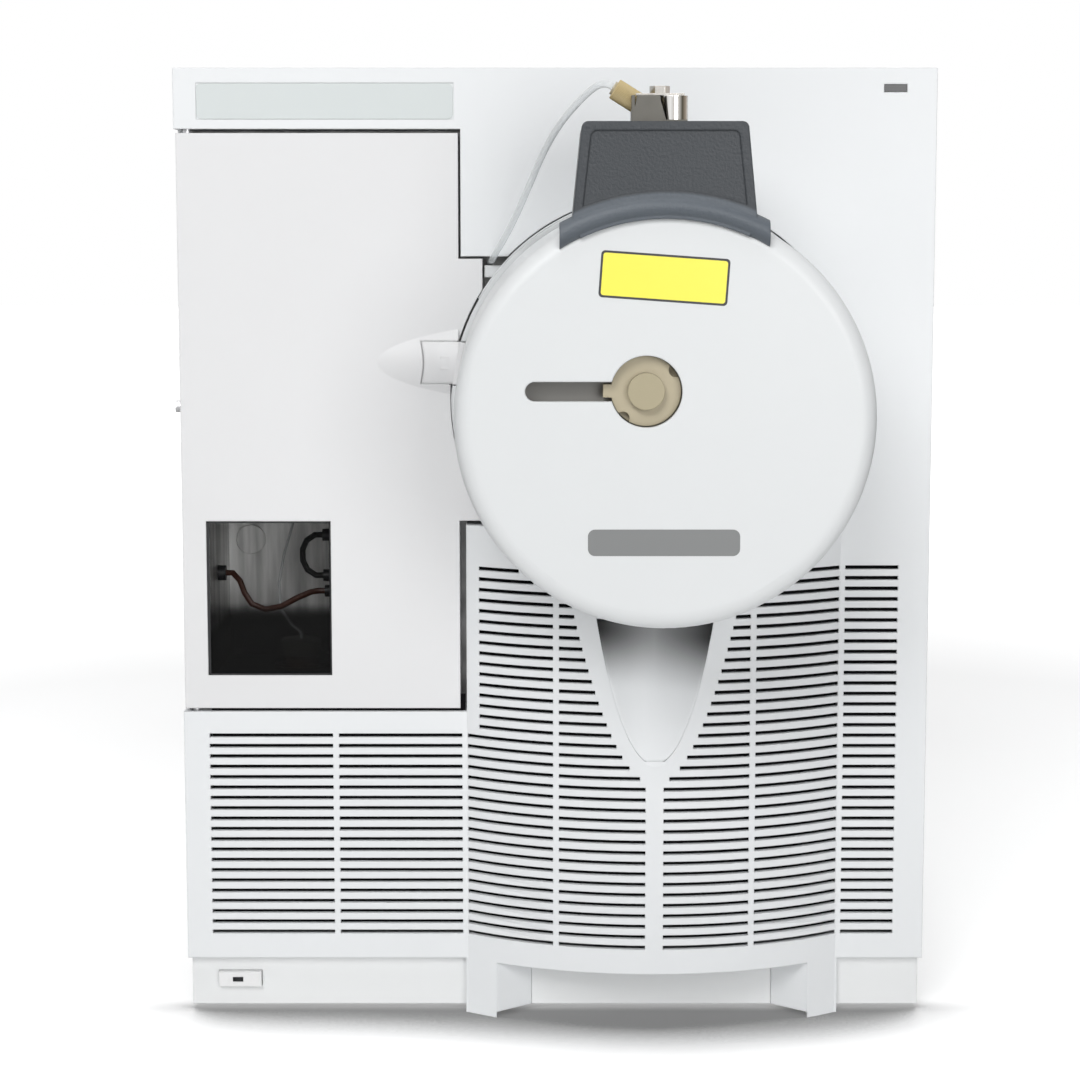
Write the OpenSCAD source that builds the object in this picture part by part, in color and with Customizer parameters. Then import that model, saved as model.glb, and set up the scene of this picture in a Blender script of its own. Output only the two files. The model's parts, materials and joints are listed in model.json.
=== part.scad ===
// Benchtop single quadrupole mass spectrometer with a hinged spray source.
// Frame: +X to the right, the front faces -Y, +Z up, millimetres.
// The origin is the middle of the footprint's bounding box, on the bench.

/* [Body] */
// Width of the body across its side covers
body_w = 380; // [370:1:400]
// Height of the top cover above the bench
body_h = 483; // [478:1:500]
// Depth from the front face to the rear panel
body_d = 700; // [690:1:740]
// Thickness of the sheet covers
sheet_t = 2; // [1.5:0.1:2.5]
// Clearance under the base
foot_h = 3; // [2:0.5:6]
// Height of the base plinth
base_h = 26; // [24:1:28]
// Setback of the plinth behind the front face
base_back = 5; // [4:0.5:7]

/* [Front cover] */
// Wall of the moulded front cover
cover_wall = 3; // [2.5:0.1:3.5]
// Depth of the front cover's side walls
cover_deep = 26; // [24:1:28]
// Height of the band above the door
band_h = 30; // [28:1:34]
// Height of the panel below the door
panel_h = 129.5; // [127:0.5:131]
// Half width of the curved bulge
bulge_half_w = 95; // [93:1:97]
// How far the bulge stands out at its middle
bulge_rise = 30; // [26:1:32]
// Width of each leg's front face
leg_w = 16; // [14:1:18]
// Width of each leg's inner gusset
gusset_w = 18; // [14:1:20]

/* [Grille] */
// Number of slot rows
slot_rows = 36; // [30:1:36]
// Rows that the left panel has, counted from the bottom
left_rows = 20; // [16:1:20]
// Height of one slot
slot_h = 2; // [1.6:0.1:2.4]
// Distance between slot rows
slot_pitch = 5.43; // [5.2:0.01:5.5]
// Height of the lowest row above the plinth
slot_foot = 13.9; // [12:0.1:16]
// Length of the slots beside the middle rib
slot_len = 43.5; // [42:0.5:44]
// Width of the ribs between slot columns
slot_rib = 3; // [2.5:0.1:4]
// Width of the middle rib
mid_rib = 9; // [8:0.5:10]
// Plain margin left of the grille
margin_l = 13; // [11:1:16]
// Plain margin right of the grille
margin_r = 15.5; // [13:0.5:18]

/* [Chute] */
// Height of the chute's rim at its tip
rim_tip_z = 127; // [122:1:132]
// Growth of the rim's half width with the root of the height
rim_rate = 4.4; // [4:0.1:4.6]
// Radius of the chute's round bottom
chute_r = 40; // [36:1:44]
// Tilt of the chute against the bulge
chute_tilt = 12; // [10:0.5:14]
// Plain rim below the chute's own tip
chute_rim = 9; // [7:0.5:12]

/* [Door] */
// Gap round the door
door_gap = 1.2; // [1:0.1:1.6]
// Wide gap at the door's lower right edge
door_low_gap = 3.3; // [3:0.1:4]
// Thickness of the door
door_t = 14; // [12:1:15]
// Wall of the moulded door
door_wall = 3; // [2.5:0.1:3.5]
// Width of the door's upper part
door_w = 140.6; // [139:0.2:142]
// Width of the lobe that reaches behind the source
lobe_w = 12; // [10:0.5:13]
// Height of the lobe's upper edge
lobe_top_z = 390; // [389:0.5:392]
// Height of the lobe's lower edge
lobe_low_z = 254.6; // [253:0.2:256]
// Radius of the door's pivot pins
pivot_r = 2; // [1.8:0.1:2.2]
// Width of the window
window_w = 63.2; // [60:0.2:66]
// Height of the window
window_h = 79.2; // [76:0.2:82]
// Left edge of the window from the door's left edge
window_in = 12; // [11:0.5:15]
// Lower edge of the window above the door's lower edge
window_up = 17; // [15:0.5:20]
// Radius of the long fairing on the door
fairing_r = 24; // [22:1:26]
// Tilt of the fairing against the door
fairing_tilt = 9.5; // [9:0.5:10.5]
// Distance of the fairing's tip from the source's middle
fairing_reach = 139.5; // [136:0.5:142]

/* [Source] */
// Distance of the source's middle from the body's middle
source_x = 50; // [48:0.5:52]
// Height of the source's middle
source_z = 318; // [316:0.5:320]
// Distance from the front face to the source's own front
source_out = 136; // [132:1:140]
// Radius of the source cover at its front
shell_r = 96; // [95:0.5:96.5]
// Radius of the source cover at its rear rim
shell_rear_r = 99; // [98.5:0.1:99.5]
// Wall of the source cover
shell_wall = 3; // [2.5:0.1:3.2]
// Radius of the source cover's soft front edge
shell_edge = 8; // [6:0.5:9]
// Outer radius of the fixed collar
collar_r = 101.5; // [101.2:0.1:102]
// Inner radius of the fixed collar
collar_in_r = 93; // [92.5:0.1:93.5]
// Distance that the collar stands out of the front face
collar_out = 12; // [11:0.5:12.5]
// Outer radius of the spray chamber
chamber_r = 90; // [88:0.5:90.5]
// Wall of the spray chamber
chamber_wall = 8; // [7:0.5:9]
// Space between the chamber and the source cover's front
chamber_gap = 11; // [10:0.5:12]
// Height of the source hinge above the source's middle
hinge_up = 19; // [17:0.5:20]
// Distance of the source hinge's axis from the source's middle
hinge_reach = 107.5; // [107:0.1:108]
// Distance of the source hinge's axis behind the front face
hinge_in = 2.5; // [2.3:0.1:2.8]
// Radius of the hinge knuckles
knuckle_r = 4.5; // [4.2:0.1:4.6]
// Radius of the hinge pin
hinge_pin_r = 2.5; // [2.2:0.1:2.8]

/* [Keyhole] */
// Keyhole's middle, left of the source's middle
keyhole_dx = -8.8; // [-10:0.1:-8]
// Keyhole's middle, above the source's middle
keyhole_dz = 12.8; // [11:0.1:14]
// Radius of the keyhole's round part
keyhole_r = 16.2; // [15.5:0.1:17]
// Length of the keyhole's slot from the round part's middle
keyhole_len = 54.7; // [52:0.1:56]
// Height of the keyhole's slot
keyhole_slot = 8.8; // [8:0.1:9.6]
// Radius of the needle knob
knob_r = 8.4; // [7.5:0.1:9]

/* [Nebulizer] */
// Height of the nebulizer housing above the bench
housing_z = 451; // [448:0.5:453]
// Width of the housing at its top
housing_top_w = 74.4; // [72:0.2:77]
// Width of the housing above the saddle
housing_low_w = 82.2; // [80:0.2:84]
// Height at which the housing reaches its lower width
housing_low_z = 409; // [406:0.5:412]
// Depth of the housing
housing_d = 84; // [76:1:90]
// Distance that the housing stands in front of the source cover
housing_out = 4; // [3:0.5:5]
// Outer radius of the saddle
saddle_r = 100.5; // [100.2:0.1:101]
// Inner radius of the saddle's front lip
saddle_lip_r = 90; // [89:0.5:91]
// Half width of the saddle
saddle_half_w = 47; // [45:0.5:48]
// Radius of the nebulizer's round body
neb_r = 6.6; // [6:0.1:7]
// Distance of the nebulizer's axis from the front face
neb_out = 110; // [106:0.5:112]
// Distance of the nebulizer's axis from the source's middle
neb_dx = 3.8; // [2:0.1:5]
// Length of the nebulizer above its housing
neb_up = 12.4; // [11:0.2:14]

/* [Controls and trim] */
// Width of the power button
button_w = 22; // [20:0.5:24]
// Height of the power button
button_h = 7.8; // [7:0.2:8.6]
// Travel of the power button
button_travel = 2.5; // [2:0.1:2.8]
// Distance that the door's side screw stands out
nub_out = 2; // [1.6:0.1:2.4]
// Width of the status window
status_w = 11.5; // [10:0.5:13]
// Height of the status window
status_h = 4; // [3.6:0.1:4.6]
// Width of the nameplate's shallow seat
plate_w = 128; // [124:0.5:130]
// Height of the nameplate's shallow seat
plate_h = 18; // [17:0.2:18.6]

/* [Inside] */
// Thickness of the front frame plate
frame_t = 2.5; // [2:0.1:3]
// Depth of the calibrant bay behind the frame plate
bay_d = 78; // [74:1:86]
// Length of the vacuum manifold
manifold_l = 420; // [400:5:440]
// Width of the vacuum manifold
manifold_w = 150; // [146:1:154]
// Height of the vacuum manifold
manifold_h = 160; // [156:1:164]
// Wall of the vacuum manifold
manifold_wall = 10; // [9:0.5:12]
// Radius of the turbo pump's housing
turbo_r = 55; // [50:1:58]
// Height of the turbo pump
turbo_h = 118; // [112:1:122]
// Radius of the quadrupole rods
quad_r = 6; // [5:0.2:6.4]
// Length of the quadrupole rods
quad_l = 200; // [190:2:210]
// Radius of the fan rotors
fan_r = 40; // [37:0.5:41]
// Thickness of the fans
fan_t = 25; // [24:0.5:26]
// Distance that the rear fittings stand out
rear_out = 25; // [22:1:30]

/* [Hidden] */
$fn = 64;

// Clearances
fit = 0.3;      // between curved faces of different pieces
run_fit = 0.05; // radial clearance of a running fit
eps = 0.01;

// Place of the model: the bounding box is centred on the origin
front_reach = source_out + housing_out;
place_x = nub_out / 2;
place_y = (front_reach - body_d - rear_out) / 2;

// Body
half_w = body_w / 2;
base_top = foot_h + base_h;
base_half_w = half_w - 1.5;
band_z = body_h - band_h;
cover_top = body_h - sheet_t;
panel_top = base_top + panel_h;
bulge_r = (bulge_half_w * bulge_half_w + bulge_rise * bulge_rise) / (2 * bulge_rise);
bulge_y = bulge_r - bulge_rise;
bulge_top = source_z - 20;

// Door
door_l = -half_w + 1;
door_r = door_l + door_w;
door_top = band_z - 2;
door_low = panel_top + 1.8;
open_hi_x = door_r + door_gap;
open_low_x = door_r + door_low_gap;
lobe_top = lobe_top_z - door_gap;
lobe_low = lobe_low_z + 2.2;
lobe_r_x = door_r + lobe_w;
lobe_x = source_x - collar_r / 2;
hole_r = collar_r + 1.5;
door_arc_r = collar_r + 1.2;
pivot_x = door_l + 5;
pivot_y = 6;
pivot_in = 8;
fair_tip_x = source_x - fairing_reach;
fair_wall = 2.5;
window_x = door_l + window_in;
window_z = door_low + window_up;

// Source
hinge_x = source_x - hinge_reach;
hinge_y = hinge_in;
hinge_z = source_z + hinge_up;
knuckle_h = 7;
knuckle_gap = 0.3;
bracket_h = 5.5;
notch_half_h = knuckle_h / 2 + knuckle_gap + bracket_h + 1.7;
skin_half_h = notch_half_h - 0.5;
skin_r = 10.1;
skin_t = 2;
chamber_front = source_out - shell_wall - chamber_gap;
chamber_back = 1;
keyhole_x = source_x + keyhole_dx;
keyhole_z = source_z + keyhole_dz;
neb_x = source_x + neb_dx;
housing_x = source_x - 1;

// Frame and bay
frame_y = cover_deep + 2;
frame_back = frame_y + frame_t;
bay_l = -half_w + 9;
bay_r = door_r - 14;
bay_low = panel_top + 10;
bay_top = band_z - 10;
bay_back = frame_back + bay_d;

liner_t = 1.5;
grommet_x = bay_l + 14;
grommet_z = bay_low + 66;
grommet_r = 5;
valve_x = -119;
bottle_x = -137;
bottle_y = 75;
bottle_r = 15;
bottle_z = 121;
bottle_h = 48;
cap_top = 184.3;

// Manifold, with the ion path's axis level with the inlet
path_x = source_x;
path_z = source_z;
manifold_y = frame_back;
manifold_end = manifold_y + manifold_l;
turbo_y = manifold_y + manifold_l * 0.6;
turbo_top = path_z - manifold_h / 2;
rear_y = body_d - sheet_t;

// Routes of the tubes, as points chosen along their real way
tube_route = [[27.2, -110, 466.55], [24.1, -110, 468.5], [19, -107, 468], [11.5, -99, 462],
    [2.5, -86, 452], [-5, -70, 440], [-12, -51, 425], [-19, -32, 410], [-25, -17, 399],
    [-29, -8, 392.6], [-30.6, -3, 389.8], [-31.6, 1, 388.1], [-32.2, 6, 387.8],
    [-32.8, 10, 387], [-34, 14, 384], [-40, 19.5, 378], [-47.5, 22, 373], [-52.5, 22, 369],
    [-54, 22, 365.5], [-54, 22, 363]];
orange_route = [[-175, 60, 222], [-171.5, 60, 222], [-167.5, 58, 218], [-165, 56, 212],
    [-161, 55, 206], [-154, 56, 203], [-146, 59, 204], [-138, 62.5, 208], [-130.5, 65, 211],
    [-126.5, 66, 211.5], [-123, 66, 211.5]];
black_route = [[-123, 55, 243], [-127, 55, 243], [-131.5, 55.6, 240], [-133.8, 56.3, 235],
    [-133.8, 57.2, 229], [-131.5, 57.8, 224], [-127, 58, 221], [-123, 58, 221]];
clear_route = [[-138, 99, 262], [-138, 95.5, 262], [-139, 92, 257], [-142, 87, 245],
    [-146.5, 82, 229], [-149, 78.5, 214], [-148, 76.5, 200], [-142, 75.3, 191.5],
    [-138, 75, 188.5], [bottle_x, bottle_y, cap_top + 2.4], [bottle_x, bottle_y, cap_top]];

// ---------------------------------------------------------------- helpers

module block(x0, x1, y0, y1, z0, z1) {
    translate([x0, y0, z0]) cube([x1 - x0, y1 - y0, z1 - z0]);
}

module rod_x(x0, x1, y, z, r) {
    translate([x0, y, z]) rotate([0, 90, 0]) cylinder(h = x1 - x0, r = r);
}

module rod_y(x, y0, y1, z, r) {
    translate([x, y0, z]) rotate([-90, 0, 0]) cylinder(h = y1 - y0, r = r);
}

module rod_z(x, y, z0, z1, r) {
    translate([x, y, z0]) cylinder(h = z1 - z0, r = r);
}

// A profile drawn in X and Z, given its depth from y0 to y1
module panel(y0, y1) {
    translate([0, y1, 0]) rotate([90, 0, 0]) linear_extrude(height = y1 - y0) children();
}

// A turned piece whose profile is drawn as radius and distance in front of the front face
module turned_forward(x, z) {
    translate([x, 0, z]) rotate([90, 0, 0]) rotate_extrude() children();
}

// A tube along a route of points: rings across the mean direction at each point, all turned
// the same way by a direction that the route never follows
function unit(v) = v / norm(v);
function way(p, i) = unit(p[min(i + 1, len(p) - 1)] - p[max(i - 1, 0)]);
function ring(p, i, r, n, ref) = let (d = way(p, i), u = unit(cross(d, ref)), v = cross(d, u))
    [for (k = [0 : n - 1]) p[i] + r * cos(360 * k / n) * u + r * sin(360 * k / n) * v];

module tube(route, r, ref, n = 8) {
    last = len(route) - 1;
    points = [for (i = [0 : last]) each ring(route, i, r, n, ref)];
    sides = [for (i = [0 : last - 1], k = [0 : n - 1])
        [i * n + k, (i + 1) * n + k, (i + 1) * n + (k + 1) % n, i * n + (k + 1) % n]];
    start_cap = [[for (k = [0 : n - 1]) k]];
    end_cap = [[for (k = [n - 1 : -1 : 0]) last * n + k]];
    polyhedron(points = points, faces = concat(sides, start_cap, end_cap));
}

// ---------------------------------------------------------------- covers and base

module base_tray() {
    color([0.93, 0.94, 0.94]) difference() {
        block(-base_half_w, base_half_w, base_back, rear_y, foot_h, base_top);
        block(-base_half_w + sheet_t, base_half_w - sheet_t, base_back + sheet_t, rear_y - sheet_t,
            foot_h + sheet_t, base_top + 1);
        power_button_space(fit);
    }
}

button_x = -base_half_w + 14;
button_z = foot_h + 10;

module power_button_space(g) {
    block(button_x - g, button_x + button_w + g, base_back - 5, base_back + sheet_t + 1,
        button_z - g, button_z + button_h + g);
}

module power_button() {
    cap_out = button_travel + 0.8;
    color([0.95, 0.95, 0.95]) difference() {
        union() {
            block(button_x, button_x + button_w, base_back - cap_out, base_back + sheet_t + 1.5,
                button_z, button_z + button_h);
            block(button_x - 2, button_x + button_w + 2, base_back + sheet_t + fit,
                base_back + sheet_t + 2.5, button_z - 2, button_z + button_h + 2);
            block(button_x + 8, button_x + 14, base_back + sheet_t + 2, base_back + sheet_t + 8,
                button_z + 2, button_z + 6);
        }
        button_lens_space(fit / 3);
    }
}

module button_lens_space(g) {
    lens_w = 5.2;
    lens_h = 2.2;
    lens_x = button_x + button_w / 3;
    lens_z = button_z + (button_h - lens_h) / 2;
    block(lens_x - g, lens_x + lens_w + g, base_back - 5, base_back + sheet_t, lens_z - g,
        lens_z + lens_h + g);
}

module button_lens() {
    cap_out = button_travel + 0.8;
    color([0.1, 0.12, 0.1]) intersection() {
        button_lens_space(0);
        block(-half_w, half_w, base_back - cap_out - 0.2, base_back + sheet_t, 0, base_top);
    }
}

module rubber_feet() {
    foot_r = 12;
    foot_in = 30;
    color([0.1, 0.1, 0.1])
        for (x = [-base_half_w + foot_in, base_half_w - foot_in],
             y = [base_back + foot_in, rear_y - foot_in])
            rod_z(x, y, 0, foot_h, foot_r);
}

module side_cover(s) {
    x0 = s > 0 ? half_w - sheet_t : -half_w;
    flange = 10;
    fx = s > 0 ? half_w - sheet_t - flange : -half_w + sheet_t;
    color([0.93, 0.93, 0.93]) {
        block(x0, x0 + sheet_t, cover_deep + 0.5, rear_y, base_top, cover_top);
        block(fx - (s > 0 ? 0 : eps), fx + flange + (s > 0 ? eps : 0), rear_y - sheet_t, rear_y,
            base_top, cover_top);
    }
}

module left_side_cover() { side_cover(-1); }
module right_side_cover() { side_cover(1); }

module top_cover() {
    color([0.94, 0.94, 0.94])
        block(-half_w, half_w, cover_deep + 0.5, body_d, cover_top, body_h);
}

module rear_panel() {
    color([0.8, 0.81, 0.82]) difference() {
        block(-half_w, half_w, rear_y, body_d, base_top, cover_top);
        for (s = [-1, 1]) rod_y(s * fan_x, rear_y - 1, body_d + 1, fan_z, fan_r + 1.5);
        block(inlet_x - inlet_w / 2, inlet_x + inlet_w / 2, rear_y - 1, body_d + 1,
            inlet_z - inlet_h / 2, inlet_z + inlet_h / 2);
        rod_y(port_x, rear_y - 1, body_d + 1, port_z, port_r + fit);
        rod_y(gas_x, rear_y - 1, body_d + 1, gas_z, gas_r + fit);
        block(data_x - data_w / 2, data_x + data_w / 2, rear_y - 1, body_d + 1,
            data_z - data_h / 2, data_z + data_h / 2);
    }
}

// ---------------------------------------------------------------- front cover

// The space that the bulge fills, down from z1 to z0, with its wall taken off by in
module bulge_space(in, z0, z1) {
    intersection() {
        rod_z(source_x, bulge_y, z0, z1, bulge_r - in);
        block(source_x - bulge_half_w - 1, source_x + bulge_half_w + 1, -bulge_rise - 1, 5 + in,
            z0, z1);
    }
}

// The openings for the door and the source, grown by g
module cover_openings(g, y1) {
    block(-half_w + cover_wall + g, open_hi_x + g, -1, y1, lobe_low_z - g, band_z + g);
    block(-half_w + cover_wall + g, open_low_x + g, -1, y1, panel_top - g, lobe_low_z + 1);
    block(-half_w + cover_wall + g, lobe_x, -1, y1, lobe_low_z - g, lobe_top_z + g);
    block(open_hi_x, lobe_r_x + door_gap + g, -bulge_rise - 1, 1, lobe_low_z - g, lobe_top_z + g);
    rod_y(source_x, -bulge_rise - 5, y1, source_z, hole_r + g);
}

// The round-bottomed chute that runs down the bulge below the source
module chute_space(in) {
    tip_z = rim_tip_z + chute_rim;
    translate([source_x, -bulge_rise, tip_z]) rotate([-chute_tilt, 0, 0])
        translate([0, -chute_r, -60]) cylinder(h = 200, r = chute_r + in);
}

function row_z(k) = base_top + slot_foot + slot_pitch * k;
function rim_half_w(z) = z > rim_tip_z ? rim_rate * sqrt(z - rim_tip_z) : 0;
function hole_half_w(z) = let (r = hole_r + 6, d = source_z - z) d < r ? sqrt(r * r - d * d) : 0;

module slot(x0, x1, z) {
    if (x1 - x0 > 4) block(x0, x1, -bulge_rise - 5, cover_wall + 1, z - slot_h / 2, z + slot_h / 2);
}

module grille_slots() {
    in_x = mid_rib / 2;
    out_x = in_x + slot_len + slot_rib;
    edge_x = out_x + slot_len + slot_rib;
    left_end = -half_w + margin_l;
    right_end = half_w - margin_r;
    left_mid = (source_x - edge_x + left_end) / 2;
    for (k = [0 : slot_rows - 1]) {
        z = row_z(k);
        clear_x = max(in_x, rim_half_w(z), hole_half_w(z));
        upper = k >= left_rows;
        for (s = [-1, 1]) {
            col_end = out_x + slot_len - (upper && s < 0 ? 6 : 0);
            a = source_x + s * clear_x;
            b = source_x + s * (in_x + slot_len);
            c = source_x + s * max(out_x, clear_x);
            d = source_x + s * col_end;
            if (clear_x < in_x + slot_len) slot(min(a, b), max(a, b), z);
            if (clear_x < col_end) slot(min(c, d), max(c, d), z);
        }
        slot(source_x + edge_x, right_end, z);
        if (!upper) {
            slot(left_end, left_mid - slot_rib / 2, z);
            slot(left_mid + slot_rib / 2, source_x - edge_x, z);
        }
    }
}

module leg(s) {
    out_x = source_x + s * (bulge_half_w + 1);
    in_x = source_x + s * (bulge_half_w + 1 - leg_w);
    gus_x = source_x + s * (bulge_half_w + 1 - leg_w - gusset_w);
    intersection() {
        union() {
            block(min(out_x, in_x), max(out_x, in_x), -bulge_rise, base_back - eps, 0,
                base_top + cover_wall);
            translate([0, 0, foot_h]) linear_extrude(height = base_h + cover_wall)
                polygon([[in_x, -bulge_rise * 0.32], [gus_x, base_back - eps],
                    [out_x, base_back - eps], [out_x, 0]]);
        }
        union() {
            rod_z(source_x, bulge_y, -1, base_top + cover_wall, bulge_r);
            block(-half_w, half_w, 0, base_back, -1, base_top + cover_wall);
        }
    }
}

module front_cover() {
    color([0.93, 0.94, 0.95]) difference() {
        union() {
            difference() {
                union() {
                    block(-half_w, half_w, 0, cover_deep, base_top, body_h);
                    bulge_space(0, base_top, bulge_top);
                }
                difference() {
                    union() {
                        block(-half_w + cover_wall, half_w - cover_wall, cover_wall,
                            cover_deep + 1, base_top + cover_wall, body_h - cover_wall);
                        bulge_space(cover_wall, base_top + cover_wall, bulge_top);
                    }
                    cover_openings(cover_wall, cover_deep);
                    intersection() {
                        chute_space(cover_wall);
                        block(-half_w, half_w, -bulge_rise - 5, cover_deep, base_top, source_z);
                    }
                }
            }
            for (s = [-1, 1]) leg(s);
        }
        cover_openings(0, cover_deep + 1);
        // the door reaches the left edge, so the side wall stops behind it
        block(-half_w - 1, -half_w + cover_wall + 1, -1, door_t + 1.5, panel_top, band_z);
        chute_space(0);
        grille_slots();
        // shallow seats for the nameplate and the status window
        block(plate_x, plate_x + plate_w, -1, 0.4, plate_z, plate_z + plate_h);
        block(status_x, status_x + status_w, -1, cover_wall + 1, status_z, status_z + status_h);
        for (z = [panel_top - cover_wall - 1, band_z - 1])
            rod_z(pivot_x, pivot_y, z, z + cover_wall + 2, pivot_r + run_fit);
    }
}

plate_x = -half_w + 11.5;
plate_z = band_z + 4.6;
status_x = half_w - 15.5 - status_w + 0.5;
status_z = body_h - 12;

module status_lens() {
    lip = 1;
    color([0.05, 0.05, 0.06]) {
        block(status_x + 0.1, status_x + status_w - 0.1, 0.3, cover_wall, status_z + 0.1,
            status_z + status_h - 0.1);
        block(status_x - lip, status_x + status_w + lip, cover_wall, cover_wall + 2,
            status_z - lip, status_z + status_h + lip);
    }
}

// ---------------------------------------------------------------- door

module door_outline(in) {
    difference() {
        union() {
            translate([door_l + in, door_low + in])
                square([door_w - 2 * in, door_top - door_low - 2 * in]);
            translate([door_r - in - 1, lobe_low + in])
                square([lobe_w + 1, lobe_top - lobe_low - 2 * in]);
        }
        translate([source_x, source_z]) circle(r = door_arc_r + in);
    }
}

module door() {
    hinge_notch_l = hinge_x - knuckle_r - 1.5;
    boss = 10;
    color([0.9, 0.9, 0.9]) difference() {
        union() {
            difference() {
                panel(0, door_t) door_outline(0);
                panel(door_wall, door_t + 1) door_outline(door_wall);
            }
            // bosses round the pivots
            block(door_l + 1, door_l + boss, 1, boss + 1, door_top - boss - 2, door_top - 1);
            block(door_l + 1, door_l + boss, 1, boss + 1, door_low + 1, door_low + boss + 2);
            // fairing that widens towards the source
            intersection() {
                fairing_bar(0);
                block(fair_tip_x - 1, door_r, -20, door_wall, hinge_z - fairing_r,
                    hinge_z + fairing_r);
            }
        }
        intersection() {
            fairing_bar(fair_wall);
            block(fair_tip_x - 1, door_r - door_wall, -20, door_wall + 1, hinge_z - fairing_r,
                hinge_z + fairing_r);
        }
        rod_y(source_x, -20, door_t + 1, source_z, door_arc_r);
        block(window_x, window_x + window_w, -1, door_wall + 1, window_z, window_z + window_h);
        block(hinge_notch_l, door_r + 1, hinge_y, door_t + 1, hinge_z - notch_half_h,
            hinge_z + notch_half_h);
        block(hinge_x, door_r + 1, -20, door_t + 1, hinge_z - notch_half_h,
            hinge_z + notch_half_h);
        rod_z(hinge_x, hinge_y, hinge_z - notch_half_h, hinge_z + notch_half_h, skin_r + 0.6);
        rod_z(pivot_x, pivot_y, door_top - pivot_in - 1, door_top + 1, pivot_r + run_fit);
        rod_z(pivot_x, pivot_y, door_low - 1, door_low + pivot_in + 1, pivot_r + run_fit);
        rod_x(door_l - 1, door_l + door_wall + 1, door_t / 2, screw_z, 1.6);
    }
}

screw_z = door_low + (door_top - door_low) * 0.53;

module fairing_bar(in) {
    translate([fair_tip_x, 0, hinge_z]) rotate([0, 0, -fairing_tilt]) translate([0, fairing_r, 0])
        rotate([0, 90, 0]) cylinder(h = fairing_reach, r = fairing_r - in);
}

module door_window() {
    lip = 4;
    color([0.12, 0.12, 0.12, 0.5]) {
        block(window_x + 0.1, window_x + window_w - 0.1, 0.8, door_wall, window_z + 0.1,
            window_z + window_h - 0.1);
        block(window_x - lip, window_x + window_w + lip, door_wall, door_wall + 1.5,
            window_z - lip, window_z + window_h + lip);
    }
}

module door_pins() {
    head_r = pivot_r + 0.8;
    color([0.75, 0.75, 0.75]) {
        rod_z(pivot_x, pivot_y, door_top - pivot_in, band_z + cover_wall, pivot_r);
        rod_z(pivot_x, pivot_y, band_z + cover_wall, band_z + cover_wall + 2, head_r);
        rod_z(pivot_x, pivot_y, panel_top - cover_wall, door_low + pivot_in, pivot_r);
        rod_z(pivot_x, pivot_y, panel_top - cover_wall - 2, panel_top - cover_wall, head_r);
    }
}

module door_side_screw() {
    color([0.55, 0.56, 0.57]) difference() {
        union() {
            rod_x(door_l, door_l + door_wall + 2, door_t / 2, screw_z, 1.55);
            rod_x(-half_w - nub_out, door_l, door_t / 2, screw_z, 3);
        }
        block(-half_w - nub_out - 1, -half_w - nub_out + 0.6, 0, door_t, screw_z - 0.4,
            screw_z + 0.4);
    }
}

module door_magnets() {
    mag_w = 8;
    color([0.3, 0.3, 0.32])
        for (z = [door_low + 20, door_top - 40])
            block(bay_r + 1, bay_r + 1 + mag_w, door_t + 1, frame_y, z, z + 20);
}

// ---------------------------------------------------------------- frame and calibrant bay

module front_frame() {
    in = sheet_t + fit;
    flange = 18;
    color([0.62, 0.63, 0.65]) difference() {
        union() {
            block(-half_w + in, half_w - in, frame_y, frame_back, base_top, cover_top - 1);
            for (s = [-1, 1]) {
                fx = s > 0 ? half_w - in - sheet_t : -half_w + in;
                block(fx, fx + sheet_t, frame_back - eps, frame_back + flange, base_top,
                    cover_top - 1);
            }
        }
        block(bay_l, bay_r, frame_y - 1, frame_back + 1, bay_low, bay_top);
        rod_y(path_x, frame_y - 1, frame_back + 1, path_z, 41);
        block(-half_w + 40, half_w - 40, frame_y - 1, frame_back + 1, base_top + 12,
            panel_top - 22);
        block(source_x - 40, half_w - 40, frame_y - 1, frame_back + 1, panel_top - 30,
            source_z - collar_r - 12);
    }
}

module bay_liner() {
    w = liner_t;
    color([0.6, 0.6, 0.58]) difference() {
        union() {
            block(bay_l + fit, bay_r - fit, frame_y, bay_back, bay_low + fit, bay_top - fit);
            // well that the bottle stands in
            rod_z(bottle_x, bottle_y, bottle_z - w, bay_low + fit + eps, bottle_r + fit + w);
        }
        block(bay_l + fit + w, bay_r - fit - w, frame_y - 1, bay_back - w, bay_low + fit + w,
            bay_top - fit - w);
        rod_y(grommet_x, bay_back - w - 1, bay_back + 1, grommet_z, grommet_r + fit);
        rod_z(bottle_x, bottle_y, bottle_z, bay_low + 5, bottle_r + fit);
    }
}

module bay_grommet() {
    lip_r = grommet_r + 3;
    color([0.06, 0.06, 0.06]) {
        rod_y(grommet_x, bay_back - liner_t, bay_back, grommet_z, grommet_r);
        rod_y(grommet_x, bay_back - liner_t - 2.5, bay_back - liner_t, grommet_z, lip_r);
        rod_y(grommet_x, bay_back, bay_back + 2, grommet_z, lip_r);
    }
}

module bay_union() {
    color([0.7, 0.7, 0.7]) {
        rod_y(clear_route[0][0], clear_route[0][1], bay_back - liner_t, clear_route[0][2], 4);
        rod_x(bay_l + fit + liner_t, orange_route[0][0], orange_route[0][1], orange_route[0][2], 4);
    }
}

module calibrant_valve() {
    port_l = 4;
    color([0.16, 0.16, 0.17]) {
        block(valve_x, bay_r - fit - liner_t, 46, 76, 205, 252);
        for (p = [black_route[0], black_route[len(black_route) - 1],
                orange_route[len(orange_route) - 1]])
            rod_x(valve_x - port_l, valve_x, p[1], p[2], 3.2);
    }
}

module calibrant_bottle() {
    color([0.5, 0.35, 0.2, 0.6]) {
        rod_z(bottle_x, bottle_y, bottle_z, bottle_z + bottle_h, bottle_r);
        rod_z(bottle_x, bottle_y, bottle_z + bottle_h, bottle_z + bottle_h + 7, bottle_r - 6);
    }
}

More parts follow.
